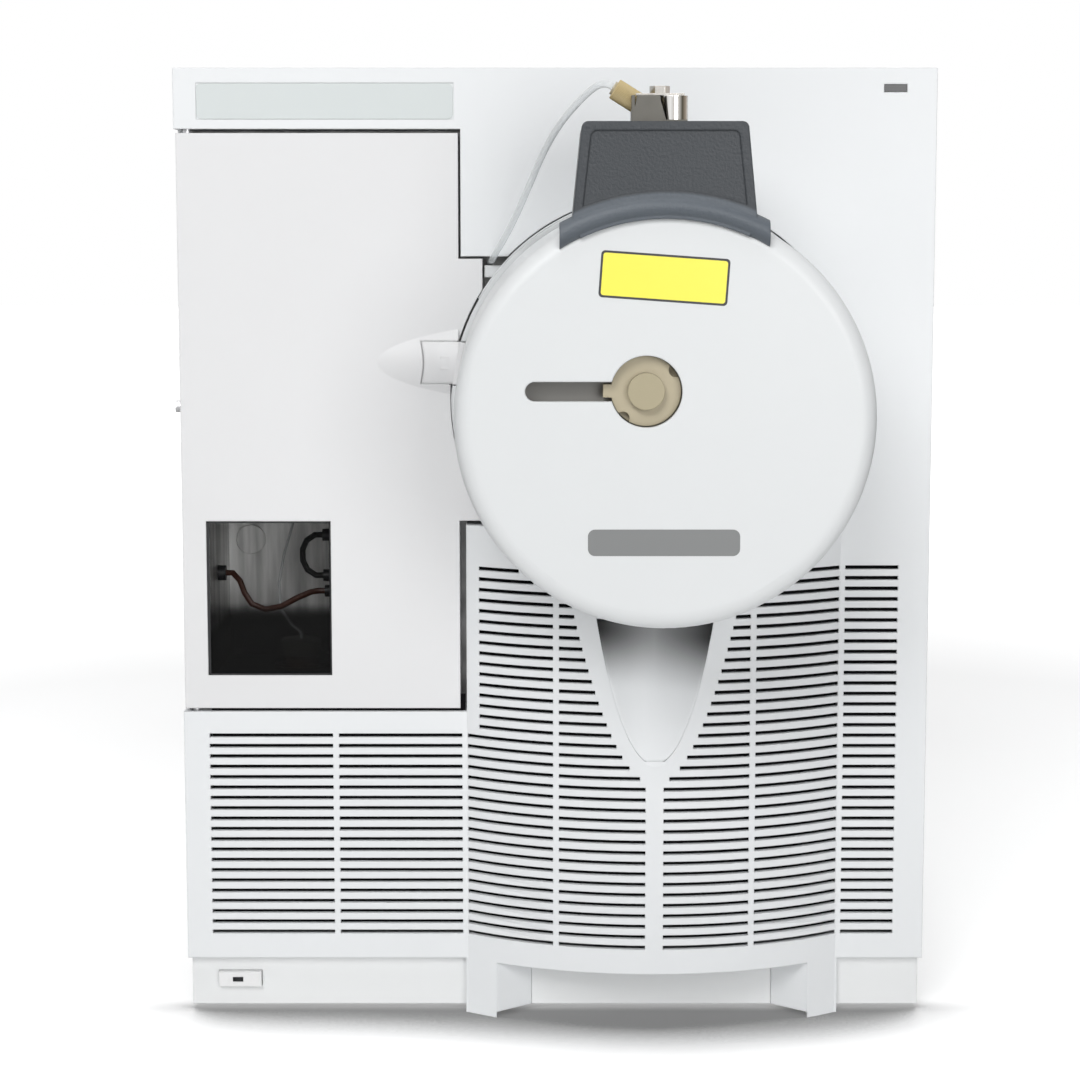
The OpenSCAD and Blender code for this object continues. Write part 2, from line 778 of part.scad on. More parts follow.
module bottle_cap() {
    cap_z = bottle_z + bottle_h + 7;
    color([0.72, 0.66, 0.52]) rod_z(bottle_x, bottle_y, cap_z, cap_top, 10.5);
}

module orange_tube() { color([0.85, 0.4, 0.1]) tube(orange_route, 1.6, [0, 1, 0]); }
module black_tube() { color([0.05, 0.05, 0.05]) tube(black_route, 1.6, [0, 1, 0]); }
module clear_tube() { color([0.85, 0.85, 0.85]) tube(clear_route, 0.8, [1, 0, 0], 6); }

// ---------------------------------------------------------------- source mount

module source_collar() {
    lug_z = source_z + 61.5;
    notch_x = source_x - chamber_r + 2;
    color([0.9, 0.91, 0.92]) difference() {
        union() {
            rod_y(source_x, -collar_out, frame_y, source_z, collar_r);
            // lug in the cable gap that the tube runs behind
            block(lobe_r_x + 1, source_x - collar_r / 2, 3, 8, lug_z, lug_z + 6);
        }
        rod_y(source_x, -collar_out - 1, frame_y + 1, source_z, collar_in_r);
        block(source_x - 2 * collar_r, notch_x, -collar_out - 1, 6, hinge_z - notch_half_h,
            hinge_z + notch_half_h);
        striker_space(fit);
    }
}

module bracket_plate(z0) {
    block(hinge_x - 3, hinge_x + 3, hinge_y, frame_y - 3, z0, z0 + bracket_h);
}

module hinge_bracket() {
    low_z = hinge_z - knuckle_h / 2 - knuckle_gap - bracket_h;
    high_z = hinge_z + knuckle_h / 2 + knuckle_gap;
    color([0.85, 0.86, 0.87]) difference() {
        union() {
            for (z = [low_z, high_z]) {
                rod_z(hinge_x, hinge_y, z, z + bracket_h, knuckle_r);
                bracket_plate(z);
            }
            block(hinge_x - 3, hinge_x + 3, hinge_y + knuckle_r + 1, frame_y - 3, low_z,
                high_z + bracket_h);
            block(hinge_x - 4, hinge_x + 5, frame_y - 3 - eps, frame_y, low_z,
                high_z + bracket_h);
        }
        rod_z(hinge_x, hinge_y, low_z - 1, high_z + bracket_h + 1, hinge_pin_r + run_fit);
    }
}

module hinge_pin() {
    low_z = hinge_z - knuckle_h / 2 - knuckle_gap - bracket_h;
    high_z = hinge_z + knuckle_h / 2 + knuckle_gap + bracket_h;
    color([0.7, 0.7, 0.72]) {
        rod_z(hinge_x, hinge_y, low_z - 0.5, high_z, hinge_pin_r);
        rod_z(hinge_x, hinge_y, high_z, high_z + 1, hinge_pin_r + 1);
    }
}

// The arm carries the last stretch of the fairing and of the collar, which close round it
module source_arm() {
    low_z = hinge_z - skin_half_h;
    high_z = hinge_z + skin_half_h;
    arm_front = -6;
    color([0.9, 0.9, 0.9]) difference() {
        union() {
            rod_z(hinge_x, hinge_y, hinge_z - knuckle_h / 2, hinge_z + knuckle_h / 2, knuckle_r);
            intersection() {
                block(hinge_x, source_x - chamber_r, arm_front, -chamber_back,
                    hinge_z - knuckle_h / 2, hinge_z + knuckle_h / 2);
                rod_y(source_x, -collar_out, 0, source_z, hinge_reach + knuckle_r);
            }
            // web between the knuckle and the skin
            intersection() {
                block(hinge_x - 3, hinge_x + 3, -20, hinge_y, hinge_z - knuckle_h / 2,
                    hinge_z + knuckle_h / 2);
                fairing_bar(skin_t / 2);
            }
            // skin that continues the fairing
            intersection() {
                difference() {
                    fairing_bar(0);
                    fairing_bar(skin_t);
                }
                union() {
                    rod_z(hinge_x, hinge_y, low_z, high_z, skin_r);
                    block(hinge_x, source_x - collar_r / 2, -20, 0, low_z, high_z);
                }
                difference() {
                    block(hinge_x - skin_r, source_x - collar_r / 2, -20, -1, low_z, high_z);
                    rod_y(source_x, -20, 1, source_z, collar_r);
                }
            }
            // stretch of the collar
            intersection() {
                difference() {
                    rod_y(source_x, -collar_out, arm_front + 1, source_z, collar_r);
                    rod_y(source_x, -collar_out - 1, arm_front + 2, source_z, collar_in_r);
                }
                block(source_x - collar_r - 1, source_x - collar_r / 2, -collar_out, 0, low_z, high_z);
            }
        }
        rod_z(hinge_x, hinge_y, hinge_z - knuckle_h, hinge_z + knuckle_h, hinge_pin_r + run_fit);
        // room for the fixed knuckles
        for (z = [hinge_z + knuckle_h / 2, low_z - 1])
            rod_z(hinge_x, hinge_y, z, z + skin_half_h - knuckle_h / 2 + 1, knuckle_r + fit);
    }
}

// Catch on the side away from the hinge: a tongue on the chamber between two fixed jaws
striker_z = 10;

module striker_space(g) {
    block(source_x + collar_in_r - 3 - g, source_x + collar_r - 2 + g, -4 - g, 10 + g,
        source_z - striker_z - 6 - g, source_z + striker_z + 6 + g);
}

module catch_striker() {
    color([0.3, 0.3, 0.32]) difference() {
        striker_space(0);
        block(source_x, source_x + collar_in_r + 1, -6, 4, source_z - striker_z,
            source_z + striker_z);
    }
}

module tube_union() {
    color([0.7, 0.7, 0.7]) {
        end = tube_route[len(tube_route) - 1];
        rod_z(end[0], end[1], end[2] - 10, end[2], 4);
        block(end[0] - 3, end[0] + 3, end[1], frame_y, end[2] - 9, end[2] - 3);
    }
}

// ---------------------------------------------------------------- source

module shell_profile(in) {
    edge = shell_edge - in;
    front = source_out - in;
    difference() {
        union() {
            polygon([[0, collar_out + 1 - in], [shell_rear_r - in, collar_out + 1 - in],
                [shell_r - in, source_out - shell_edge], [shell_r - shell_edge, front],
                [0, front]]);
            translate([shell_r - shell_edge, source_out - shell_edge]) circle(r = edge);
        }
        translate([-2 * shell_r, 0]) square([2 * shell_r, source_out]);
    }
}

module keyhole(g, y0, y1) {
    rod_y(keyhole_x, y0, y1, keyhole_z, keyhole_r - g);
    slot_x = keyhole_x - keyhole_len + keyhole_slot / 2;
    block(slot_x, keyhole_x, y0, y1, keyhole_z - keyhole_slot / 2 + g,
        keyhole_z + keyhole_slot / 2 - g);
    rod_y(slot_x, y0, y1, keyhole_z, keyhole_slot / 2 - g);
}

module source_cover() {
    color([0.92, 0.94, 0.95]) difference() {
        turned_forward(source_x, source_z) shell_profile(0);
        turned_forward(source_x, source_z) shell_profile(shell_wall);
        keyhole(0, -source_out - 1, -source_out + shell_wall + 1);
        rod_z(neb_x, -neb_out, source_z, source_z + shell_rear_r + 2, neb_r + 2);
    }
}

module spray_chamber() {
    post_r = 5;
    color([0.72, 0.73, 0.74]) difference() {
        union() {
            rod_y(source_x, -chamber_front, -collar_out - 1.5, source_z, chamber_r);
            rod_y(source_x, -collar_out - 1.5 - eps, -chamber_back, source_z, chamber_r - 5);
            // posts that carry the cover
            for (a = [30, 150, 270])
                rod_y(source_x + 70 * cos(a), -source_out + shell_wall, -chamber_front + eps,
                    source_z + 70 * sin(a), post_r);
            // pad for the hinge arm
            block(source_x - chamber_r, source_x - chamber_r + 14, -20, -chamber_back,
                hinge_z - knuckle_h / 2, hinge_z + knuckle_h / 2);
            // tongue of the catch
            block(source_x + chamber_r - 10, source_x + collar_in_r - 0.8, -3.5, -chamber_back,
                source_z - striker_z + fit, source_z + striker_z - fit);
        }
        rod_y(source_x, -chamber_front + chamber_wall, 0, source_z, chamber_r - chamber_wall - 2);
        rod_z(neb_x, -neb_out, source_z + chamber_r - chamber_wall - 8, source_z + chamber_r + 2,
            neb_r + run_fit);
        rod_y(keyhole_x, -chamber_front - 1, -chamber_front + chamber_wall + 1, keyhole_z, 6);
    }
}

module needle_holder() {
    arm_l = 19.5;
    color([0.72, 0.65, 0.5]) difference() {
        union() {
            rod_y(keyhole_x, -chamber_front - 8, -chamber_front, keyhole_z, keyhole_r - fit);
            rod_y(keyhole_x, -chamber_front - eps, -chamber_front + chamber_wall + 12, keyhole_z,
                6 - fit);
            block(keyhole_x - arm_l, keyhole_x, -chamber_front - 8, -chamber_front,
                keyhole_z - 3, keyhole_z + 3);
        }
        for (a = [35, 230])
            rod_y(keyhole_x + keyhole_r * cos(a), -chamber_front - 9, -chamber_front - 4,
                keyhole_z + keyhole_r * sin(a), 3);
        rod_y(keyhole_x, -chamber_front - 9, -chamber_front - 5, keyhole_z, 3 + run_fit);
    }
}

module needle_knob() {
    color([0.76, 0.7, 0.56]) {
        rod_y(keyhole_x, -source_out + 1, -chamber_front - 8 - fit, keyhole_z, knob_r);
        rod_y(keyhole_x, -chamber_front - 8 - fit - eps, -chamber_front - 5.2, keyhole_z, 3);
    }
}

// Outline of the nebulizer housing, with a straight splay and soft corners, less in all round
module housing_outline(in) {
    top_w = housing_top_w / 2 - in;
    low_w = housing_low_w / 2 - in;
    top_z = housing_z - in;
    corner = 3;
    translate([housing_x, 0]) union() {
        polygon([[-low_w, housing_low_z], [-saddle_half_w * 0.8, source_z + saddle_lip_r * 0.9],
            [saddle_half_w * 0.8, source_z + saddle_lip_r * 0.9], [low_w, housing_low_z],
            [top_w, top_z - corner], [top_w - corner, top_z], [-top_w + corner, top_z],
            [-top_w, top_z - corner]]);
        for (s = [-1, 1]) translate([s * (top_w - corner), top_z - corner]) circle(r = corner);
    }
}

module saddle_outline(r_in) {
    intersection() {
        difference() {
            translate([source_x, source_z]) circle(r = saddle_r);
            translate([source_x, source_z]) circle(r = r_in);
        }
        translate([housing_x - saddle_half_w, source_z + saddle_lip_r * 0.8])
            square([2 * saddle_half_w, saddle_lip_r]);
    }
}

// Rounded band of the saddle, turned about the source's axis
module saddle_band() {
    band_r = (saddle_r - saddle_lip_r) / 2;
    intersection() {
        turned_forward(source_x, source_z) union() {
            translate([saddle_lip_r + band_r, front_reach - band_r]) circle(r = band_r);
            translate([saddle_lip_r, source_out - 6]) square([2 * band_r, housing_out + 6 - band_r]);
        }
        block(housing_x - saddle_half_w, housing_x + saddle_half_w, -front_reach - 1, 0,
            source_z + saddle_lip_r * 0.8, housing_z);
    }
}

module nebulizer_housing() {
    wall = 3;
    face = front_reach - 1.5;
    lip_back = source_out + fit;
    rim_r = shell_rear_r - (shell_rear_r - shell_r) * 0.4 + fit;
    back = front_reach - housing_d;
    color([0.26, 0.28, 0.3]) difference() {
        union() {
            panel(-source_out, -back) saddle_outline(saddle_lip_r);
            saddle_band();
            panel(-face, -back) difference() {
                housing_outline(0);
                translate([source_x, source_z]) circle(r = saddle_lip_r);
            }
        }
        rod_y(source_x, -lip_back, -back + 1, source_z, rim_r);
        panel(-face + wall, -back - wall) intersection() {
            housing_outline(wall);
            translate([0, source_z + rim_r - 2]) square([2 * body_w, body_h], center = false);
        }
        rod_z(neb_x, -neb_out, housing_z - wall - 1, housing_z + 1, neb_r + 2);
        // shallow panel inside the raised border of the front
        panel(-face - 1, -face + 0.8) intersection() {
            housing_outline(4);
            difference() {
                translate([source_x - 50, source_z]) square([100, 200]);
                translate([source_x, source_z]) circle(r = saddle_r + 2);
            }
        }
    }
}

fitting_x = 38.5;
fitting_z = 459.5;
fitting_tilt = 32;

// A round piece along the tube fitting's axis, from a to b
module fitting_rod(a, b, r) {
    translate([fitting_x, -neb_out, fitting_z]) rotate([0, -90 + fitting_tilt, 0])
        translate([0, 0, a]) cylinder(h = b - a, r = r);
}

module nebulizer_bracket() {
    t = 1.5;
    x0 = source_x - 15.5;
    color([0.2, 0.2, 0.21]) difference() {
        union() {
            block(x0, neb_x + 6, -neb_out - 8, -neb_out + 8, housing_z, housing_z + t);
            block(x0, x0 + t, -neb_out - 8, -neb_out + 8, housing_z, housing_z + neb_up);
            panel(-neb_out - 8, -neb_out - 8 + t) polygon([[x0, housing_z],
                [neb_x - 3.2, housing_z], [neb_x - 6.8, housing_z + neb_up],
                [x0 + 2.6, housing_z + neb_up]]);
        }
        rod_z(neb_x, -neb_out, housing_z - 1, housing_z + neb_up + 1, neb_r + 0.4);
        fitting_rod(-14, 16, 4.4 + fit);
    }
}

module nebulizer_body() {
    tip_z = source_z + chamber_r - chamber_wall - 6;
    color([0.8, 0.8, 0.82]) {
        rod_z(neb_x, -neb_out, tip_z, housing_z + neb_up, neb_r);
        rod_z(neb_x, -neb_out, tip_z - 20, tip_z + eps, 2.5);
        // side port that the tube's fitting screws on
        fitting_rod(-13, 0, 3);
        difference() {
            block(source_x - 13.5, source_x + 8.6, -neb_out - 5, -neb_out + 5,
                housing_z + neb_up, housing_z + neb_up + 1);
            fitting_rod(-1, 16, 4.4 + fit);
        }
    }
}

module nebulizer_nut() {
    color([0.75, 0.75, 0.77])
        translate([source_x - 2.5, -neb_out, housing_z + neb_up + 1]) cylinder(h = 3.4, r = 4.6, $fn = 6);
}

module tube_fitting() {
    color([0.78, 0.68, 0.48]) difference() {
        union() {
            fitting_rod(0, 11, 4.4);
            fitting_rod(11 - eps, 14.5, 3.2);
        }
        fitting_rod(13, 16, 1.7);
    }
}

module nebulizer_tube() { color([0.88, 0.9, 0.9]) tube(tube_route, 1.6, [1, 0, 0]); }

// ---------------------------------------------------------------- vacuum and ion path

module vacuum_manifold() {
    w = manifold_wall;
    x0 = path_x - manifold_w / 2;
    color([0.7, 0.71, 0.72]) difference() {
        block(x0, x0 + manifold_w, manifold_y, manifold_end, path_z - manifold_h / 2,
            path_z + manifold_h / 2);
        block(x0 + w, x0 + manifold_w - w, manifold_y + w, manifold_end - w,
            path_z - manifold_h / 2 + w, path_z + manifold_h / 2 + 1);
        rod_y(path_x, manifold_y - 1, manifold_y + w + 1, path_z, 12 + run_fit);
        rod_z(path_x, turbo_y, turbo_top - 1, turbo_top + w + 1, turbo_r - 12);
    }
}

module manifold_lid() {
    x0 = path_x - manifold_w / 2;
    color([0.66, 0.67, 0.68])
        block(x0, x0 + manifold_w, manifold_y, manifold_end, path_z + manifold_h / 2,
            path_z + manifold_h / 2 + 12);
}

module inlet_capillary() {
    color([0.78, 0.78, 0.8]) difference() {
        union() {
            rod_y(path_x, manifold_y - 24, manifold_y + manifold_wall + 40, path_z, 3);
            rod_y(path_x, manifold_y - 8, manifold_y + manifold_wall, path_z, 12);
        }
        rod_y(path_x, manifold_y - 25, manifold_y + manifold_wall + 41, path_z, 0.6);
    }
}

module spray_shield() {
    color([0.8, 0.8, 0.82]) difference() {
        rod_y(path_x, manifold_y - 12, manifold_y, path_z, 40);
        rod_y(path_x, manifold_y - 9, manifold_y + 1, path_z, 37);
        rod_y(path_x, manifold_y - 13, manifold_y - 8, path_z, 3.2);
    }
}

guide_y = manifold_y + manifold_wall + 46;
guide_l = 70;
quad_y = guide_y + guide_l + 16;
quad_ring = quad_r * 1.9;

module ion_guide() {
    color([0.8, 0.75, 0.6]) {
        for (a = [0 : 45 : 315])
            rod_y(path_x + 8 * cos(a), guide_y, guide_y + guide_l, path_z + 8 * sin(a), 1.5);
    }
}

module quadrupole_rods() {
    color([0.8, 0.78, 0.7])
        for (a = [45 : 90 : 315])
            rod_y(path_x + quad_ring * cos(a), quad_y, quad_y + quad_l,
                path_z + quad_ring * sin(a), quad_r);
}

holder_t = 12;

module rod_holder(y, ring, r, n, turn) {
    out_r = 24;
    difference() {
        union() {
            rod_y(path_x, y, y + holder_t, path_z, out_r);
            block(path_x - 8, path_x + 8, y, y + holder_t,
                path_z - manifold_h / 2 + manifold_wall, path_z - out_r + 4);
        }
        rod_y(path_x, y - 1, y + holder_t + 1, path_z, ring - r - 1);
        for (k = [0 : n - 1]) let (a = turn + 360 * k / n)
            rod_y(path_x + ring * cos(a), y - 1, y + holder_t + 1, path_z + ring * sin(a),
                r + run_fit);
    }
}

module rod_holders() {
    color([0.93, 0.92, 0.88]) {
        for (y = [guide_y + 4, guide_y + guide_l - holder_t - 4]) rod_holder(y, 8, 1.5, 8, 0);
        for (y = [quad_y + 20, quad_y + quad_l - holder_t - 20])
            rod_holder(y, quad_ring, quad_r, 4, 45);
    }
}

module detector() {
    y0 = quad_y + quad_l + 8;
    color([0.55, 0.56, 0.58]) {
        block(path_x - 22, path_x + 22, y0, y0 + 40, path_z - 22, path_z + 22);
        block(path_x - 10, path_x + 10, y0 + 8, y0 + 32,
            path_z - manifold_h / 2 + manifold_wall, path_z - 22 + eps);
    }
}

module turbo_pump() {
    color([0.6, 0.61, 0.63]) {
        rod_z(path_x, turbo_y, turbo_top - 12, turbo_top, turbo_r + 10);
        rod_z(path_x, turbo_y, turbo_top - turbo_h, turbo_top - 12 + eps, turbo_r);
        rod_z(path_x, turbo_y, foot_h + sheet_t, turbo_top - turbo_h + eps, turbo_r - 8);
    }
}

// ---------------------------------------------------------------- electronics and rear

module main_board() {
    y0 = frame_back + 40;
    x0 = half_w - sheet_t - 30;
    color([0.1, 0.35, 0.2]) {
        block(x0, x0 + 1.6, y0, y0 + 330, foot_h + sheet_t, cover_top - 60);
        for (y = [y0 + 40, y0 + 150, y0 + 250])
            block(x0 - 10, x0 + eps, y, y + 34, 300, 334);
    }
}

module power_supply() {
    color([0.68, 0.69, 0.7])
        block(-half_w + 12, -30, rear_y - 240, rear_y - 60, foot_h + sheet_t, 130);
}

module rf_generator() {
    color([0.62, 0.63, 0.65])
        block(-half_w + 12, -40, frame_back + 110, frame_back + 300, foot_h + sheet_t, 220);
}

fan_x = 85;
fan_z = 330;

module fan_housings() {
    half = fan_r + 6;
    color([0.08, 0.08, 0.08]) for (s = [-1, 1]) difference() {
        union() {
            difference() {
                block(s * fan_x - half, s * fan_x + half, rear_y - fan_t, rear_y, fan_z - half,
                    fan_z + half);
                rod_y(s * fan_x, rear_y - fan_t - 1, rear_y + 1, fan_z, fan_r + 1);
            }
            rod_y(s * fan_x, rear_y - 4, rear_y, fan_z, 14);
            for (a = [45, 135]) translate([s * fan_x, rear_y - 2, fan_z]) rotate([0, a, 0])
                cube([2 * fan_r + 4, 4, 4], center = true);
            rod_y(s * fan_x, rear_y - fan_t + 4, rear_y - 2, fan_z, 3);
        }
    }
}

module fan_rotor(s) {
    hub_r = 15;
    y0 = rear_y - fan_t + 2;
    y1 = rear_y - 4.5;
    color([0.12, 0.12, 0.12]) difference() {
        union() {
            rod_y(s * fan_x, y0, y1, fan_z, hub_r);
            for (k = [0 : 6]) translate([s * fan_x, (y0 + y1) / 2, fan_z])
                rotate([0, k * 360 / 7, 0]) rotate([35, 0, 0])
                    translate([hub_r - 2, -1, -9]) cube([fan_r - hub_r + 1, 2, 18]);
        }
        rod_y(s * fan_x, y0 + 1.5, y1 + 1, fan_z, 3 + run_fit);
        difference() {
            rod_y(s * fan_x, y0 - 10, y1 + 10, fan_z, fan_r * 2);
            rod_y(s * fan_x, y0 - 11, y1 + 11, fan_z, fan_r);
        }
    }
}

module fan_rotor_left() { fan_rotor(-1); }
module fan_rotor_right() { fan_rotor(1); }

inlet_x = -half_w + 60;
inlet_z = base_top + 40;
inlet_w = 48;
inlet_h = 28;

module mains_inlet() {
    lip = 4;
    color([0.07, 0.07, 0.07]) difference() {
        union() {
            block(inlet_x - inlet_w / 2 + fit, inlet_x + inlet_w / 2 - fit, rear_y - 28, body_d,
                inlet_z - inlet_h / 2 + fit, inlet_z + inlet_h / 2 - fit);
            block(inlet_x - inlet_w / 2 - lip, inlet_x + inlet_w / 2 + lip, body_d, body_d + 3,
                inlet_z - inlet_h / 2 - lip, inlet_z + inlet_h / 2 + lip);
        }
        block(inlet_x - 12, inlet_x + 12, body_d - 17, body_d + 4, inlet_z - 8, inlet_z + 8);
        for (x = [-7, 0, 7]) block(inlet_x + x - 1, inlet_x + x + 1, body_d - 21, body_d - 16,
            inlet_z - 2, inlet_z + 2);
    }
}

port_x = 90;
port_z = base_top + 66;
port_r = 13;

module vacuum_port() {
    color([0.75, 0.76, 0.78]) difference() {
        union() {
            rod_y(port_x, rear_y - 40, body_d + rear_out - 3, port_z, port_r);
            rod_y(port_x, rear_y - 4, rear_y, port_z, port_r + 8);
            rod_y(port_x, body_d + rear_out - 3, body_d + rear_out, port_z, 20);
        }
        rod_y(port_x, body_d - 20, body_d + rear_out + 1, port_z, port_r - 1.5);
    }
}

gas_x = 20;
gas_z = base_top + 60;
gas_r = 6;

module gas_inlet() {
    color([0.75, 0.65, 0.35]) {
        rod_y(gas_x, rear_y - 20, body_d + 14, gas_z, gas_r);
        rod_y(gas_x, rear_y - 4, rear_y, gas_z, gas_r + 4);
        rod_y(gas_x, body_d, body_d + 5, gas_z, gas_r + 3);
    }
}

data_x = -20;
data_z = base_top + 150;
data_w = 16;
data_h = 14;

module data_ports() {
    color([0.6, 0.6, 0.62]) difference() {
        union() {
            block(data_x - data_w / 2 + fit, data_x + data_w / 2 - fit, rear_y - 18, body_d + 0.5,
                data_z - data_h / 2 + fit, data_z + data_h / 2 - fit);
            block(data_x - data_w, data_x + data_w, rear_y - 20, rear_y - 18 + eps, data_z - 20,
                data_z + 20);
        }
        block(data_x - 6, data_x + 6, body_d - 12, body_d + 2, data_z - 4, data_z + 4);
    }
}

// ---------------------------------------------------------------- assembly

module place() { translate([place_x, place_y, 0]) children(); }

place() base_tray();
place() rubber_feet();
place() left_side_cover();
place() right_side_cover();
place() top_cover();
place() rear_panel();
place() front_cover();
place() status_lens();
place() power_button();
place() button_lens();
place() door();
place() door_window();
place() door_pins();
place() door_side_screw();
place() door_magnets();
place() front_frame();
place() bay_liner();
place() bay_grommet();
place() bay_union();
place() calibrant_valve();
place() calibrant_bottle();
place() bottle_cap();
place() orange_tube();
place() black_tube();
place() clear_tube();
place() source_collar();
place() hinge_bracket();
place() hinge_pin();
place() catch_striker();
place() tube_union();
place() source_cover();
place() spray_chamber();
place() source_arm();
place() needle_holder();
place() needle_knob();
place() nebulizer_housing();
place() nebulizer_bracket();
place() nebulizer_body();
place() nebulizer_nut();
place() tube_fitting();
place() nebulizer_tube();
place() vacuum_manifold();
place() manifold_lid();
place() inlet_capillary();
place() spray_shield();
place() ion_guide();
place() quadrupole_rods();
place() rod_holders();
place() detector();
place() turbo_pump();
place() main_board();
place() power_supply();
place() rf_generator();
place() fan_housings();
place() fan_rotor_left();
place() fan_rotor_right();
place() mains_inlet();
place() vacuum_port();
place() gas_inlet();
place() data_ports();
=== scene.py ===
import json
import math

import bpy
import bmesh
from mathutils import Matrix, Vector


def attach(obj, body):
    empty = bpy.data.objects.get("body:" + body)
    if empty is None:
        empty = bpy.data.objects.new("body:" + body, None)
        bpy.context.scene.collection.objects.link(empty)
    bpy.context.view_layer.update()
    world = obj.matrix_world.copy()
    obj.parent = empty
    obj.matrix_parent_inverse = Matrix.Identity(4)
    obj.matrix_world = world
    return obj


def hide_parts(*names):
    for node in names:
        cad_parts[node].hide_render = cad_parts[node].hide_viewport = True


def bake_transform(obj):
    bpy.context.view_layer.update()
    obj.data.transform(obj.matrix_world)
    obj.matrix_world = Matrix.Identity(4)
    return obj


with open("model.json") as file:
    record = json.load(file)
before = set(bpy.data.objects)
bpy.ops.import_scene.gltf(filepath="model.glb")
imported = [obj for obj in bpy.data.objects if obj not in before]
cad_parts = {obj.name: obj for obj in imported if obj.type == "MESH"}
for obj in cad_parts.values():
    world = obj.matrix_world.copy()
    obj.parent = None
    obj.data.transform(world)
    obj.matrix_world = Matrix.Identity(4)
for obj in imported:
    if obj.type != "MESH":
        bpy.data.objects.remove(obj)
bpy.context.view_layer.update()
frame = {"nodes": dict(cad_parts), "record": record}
nodes = frame["nodes"]

# Place of the CAD source's own frame in the row frame, in metres
PLACE = Vector((0.001, -0.2925, 0.0))

# Axis of the source's drum across and up, in the CAD source's millimetres and in the row frame's metres
SOURCE_X, SOURCE_Z = 50, 318
DRUM_X, DRUM_Z = 0.051, 0.318


def at(x, y, z):
    """A point of the CAD source, in millimetres, in the row frame in metres."""
    return PLACE + Vector((x, y, z)) / 1000


# ---------------------------------------------------------------- shader nodes

def add(tree, kind, inputs=(), **settings):
    """A new node, whose inputs are constants or other nodes' outputs."""
    n = tree.nodes.new("ShaderNode" + kind)
    for key, value in settings.items():
        setattr(n, key, value)
    for key, value in dict(inputs).items():
        if isinstance(value, bpy.types.NodeSocket):
            tree.links.new(value, n.inputs[key])
        else:
            n.inputs[key].default_value = value
    return n


def math_node(tree, operation, a, b=0):
    return add(tree, "Math", {0: a, 1: b}, operation=operation).outputs[0]


def range_node(tree, value, lo, hi, to_lo, to_hi, smooth=False):
    """A value's range lo to hi turned into to_lo to to_hi, and held beyond it."""
    return add(tree, "MapRange", {"Value": value, "From Min": lo, "From Max": hi, "To Min": to_lo, "To Max": to_hi},
               interpolation_type="SMOOTHSTEP" if smooth else "LINEAR").outputs["Result"]


def rest_xyz(tree):
    """Place at rest in the row frame, whatever the pose."""
    return add(tree, "SeparateXYZ", {0: add(tree, "TexCoord").outputs["Object"]}).outputs


def scaled(tree, color, value):
    """A colour times a value."""
    return add(tree, "VectorMath", {0: color, "Scale": value}, operation="SCALE").outputs["Vector"]


def toned(m, value):
    """Scale a material's own colour by a value."""
    base = m.node_tree.nodes["Principled BSDF"].inputs["Base Color"]
    m.node_tree.links.new(scaled(m.node_tree, base.default_value[:3], value), base)


# ---------------------------------------------------------------- materials

BY_SLOT = {}


def material(name, color, rough=0.5, metal=0.0, edge=0.0, grain=0.0, grain_size=0.001, specular=0.5,
             coat=0.0, alpha=1.0, transmission=0.0, mottle=0.0, mottle_size=0.05, brushed=None):
    """A surface: edge rounds its edges, grain is the depth of a fine bump, both in metres,
    mottle varies its roughness in patches, and brushed stretches the grain."""
    m = bpy.data.materials.new("look_" + name)
    BY_SLOT[name] = m
    m.use_nodes = True
    t = m.node_tree
    b = t.nodes["Principled BSDF"]
    for key, value in (("Base Color", (*color, 1)), ("Roughness", rough), ("Metallic", metal),
                       ("Specular IOR Level", specular), ("Coat Weight", coat), ("Alpha", alpha),
                       ("Transmission Weight", transmission), ("IOR", 1.45)):
        b.inputs[key].default_value = value
    coord = add(t, "TexCoord").outputs["Object"]
    normal = None
    if edge:
        normal = add(t, "Bevel", {"Radius": edge}, samples=4).outputs["Normal"]
    if grain:
        along = add(t, "Mapping", {"Vector": coord, "Scale": brushed}).outputs["Vector"] if brushed else coord
        noise = add(t, "TexNoise", {"Vector": along, "Scale": 1 / grain_size, "Detail": 3})
        bump = add(t, "Bump", {"Strength": 1, "Distance": grain, "Height": noise.outputs["Fac"]})
        if normal:
            t.links.new(normal, bump.inputs["Normal"])
        normal = bump.outputs["Normal"]
    if mottle:
        patch = add(t, "TexNoise", {"Vector": coord, "Scale": 1 / mottle_size, "Detail": 4})
        t.links.new(range_node(t, patch.outputs["Fac"], 0.3, 0.7, rough - mottle, rough + mottle),
                    b.inputs["Roughness"])
    if normal:
        t.links.new(normal, b.inputs["Normal"])
    return m


COVER_COLOR = (0.82, 0.835, 0.845)
DOOR_COLOR = (0.77, 0.77, 0.775)

WHITE = material("cover_white", COVER_COLOR, 0.42, edge=0.0009, grain=0.00001, grain_size=0.0007, mottle=0.04)
material("door_white", DOOR_COLOR, 0.45, edge=0.0009, grain=0.00001, grain_size=0.0007, mottle=0.04)
material("source_white", (0.72, 0.735, 0.74), 0.36, edge=0.0012, mottle=0.04)
material("sheet_white", (0.83, 0.84, 0.84), 0.5, edge=0.0006, grain=0.00002, grain_size=0.0009)
material("rear_grey", (0.6, 0.61, 0.62), 0.5, edge=0.0005, grain=0.00002, grain_size=0.0009)
material("zinc_sheet", (0.5, 0.5, 0.5), 0.42, 1.0, edge=0.0005, mottle=0.12, mottle_size=0.012)
BAY = material("bay_metal", (0.74, 0.74, 0.73), 0.5, 1.0, edge=0.0005, grain=0.00002, grain_size=0.004,
               brushed=(1, 1, 40))
GREY = material("housing_grey", (0.03, 0.035, 0.041), 0.42, edge=0.0012, grain=0.00022, grain_size=0.0013)
material("dark_steel", (0.1, 0.096, 0.086), 0.38, 0.8, edge=0.0004, mottle=0.08, mottle_size=0.004)
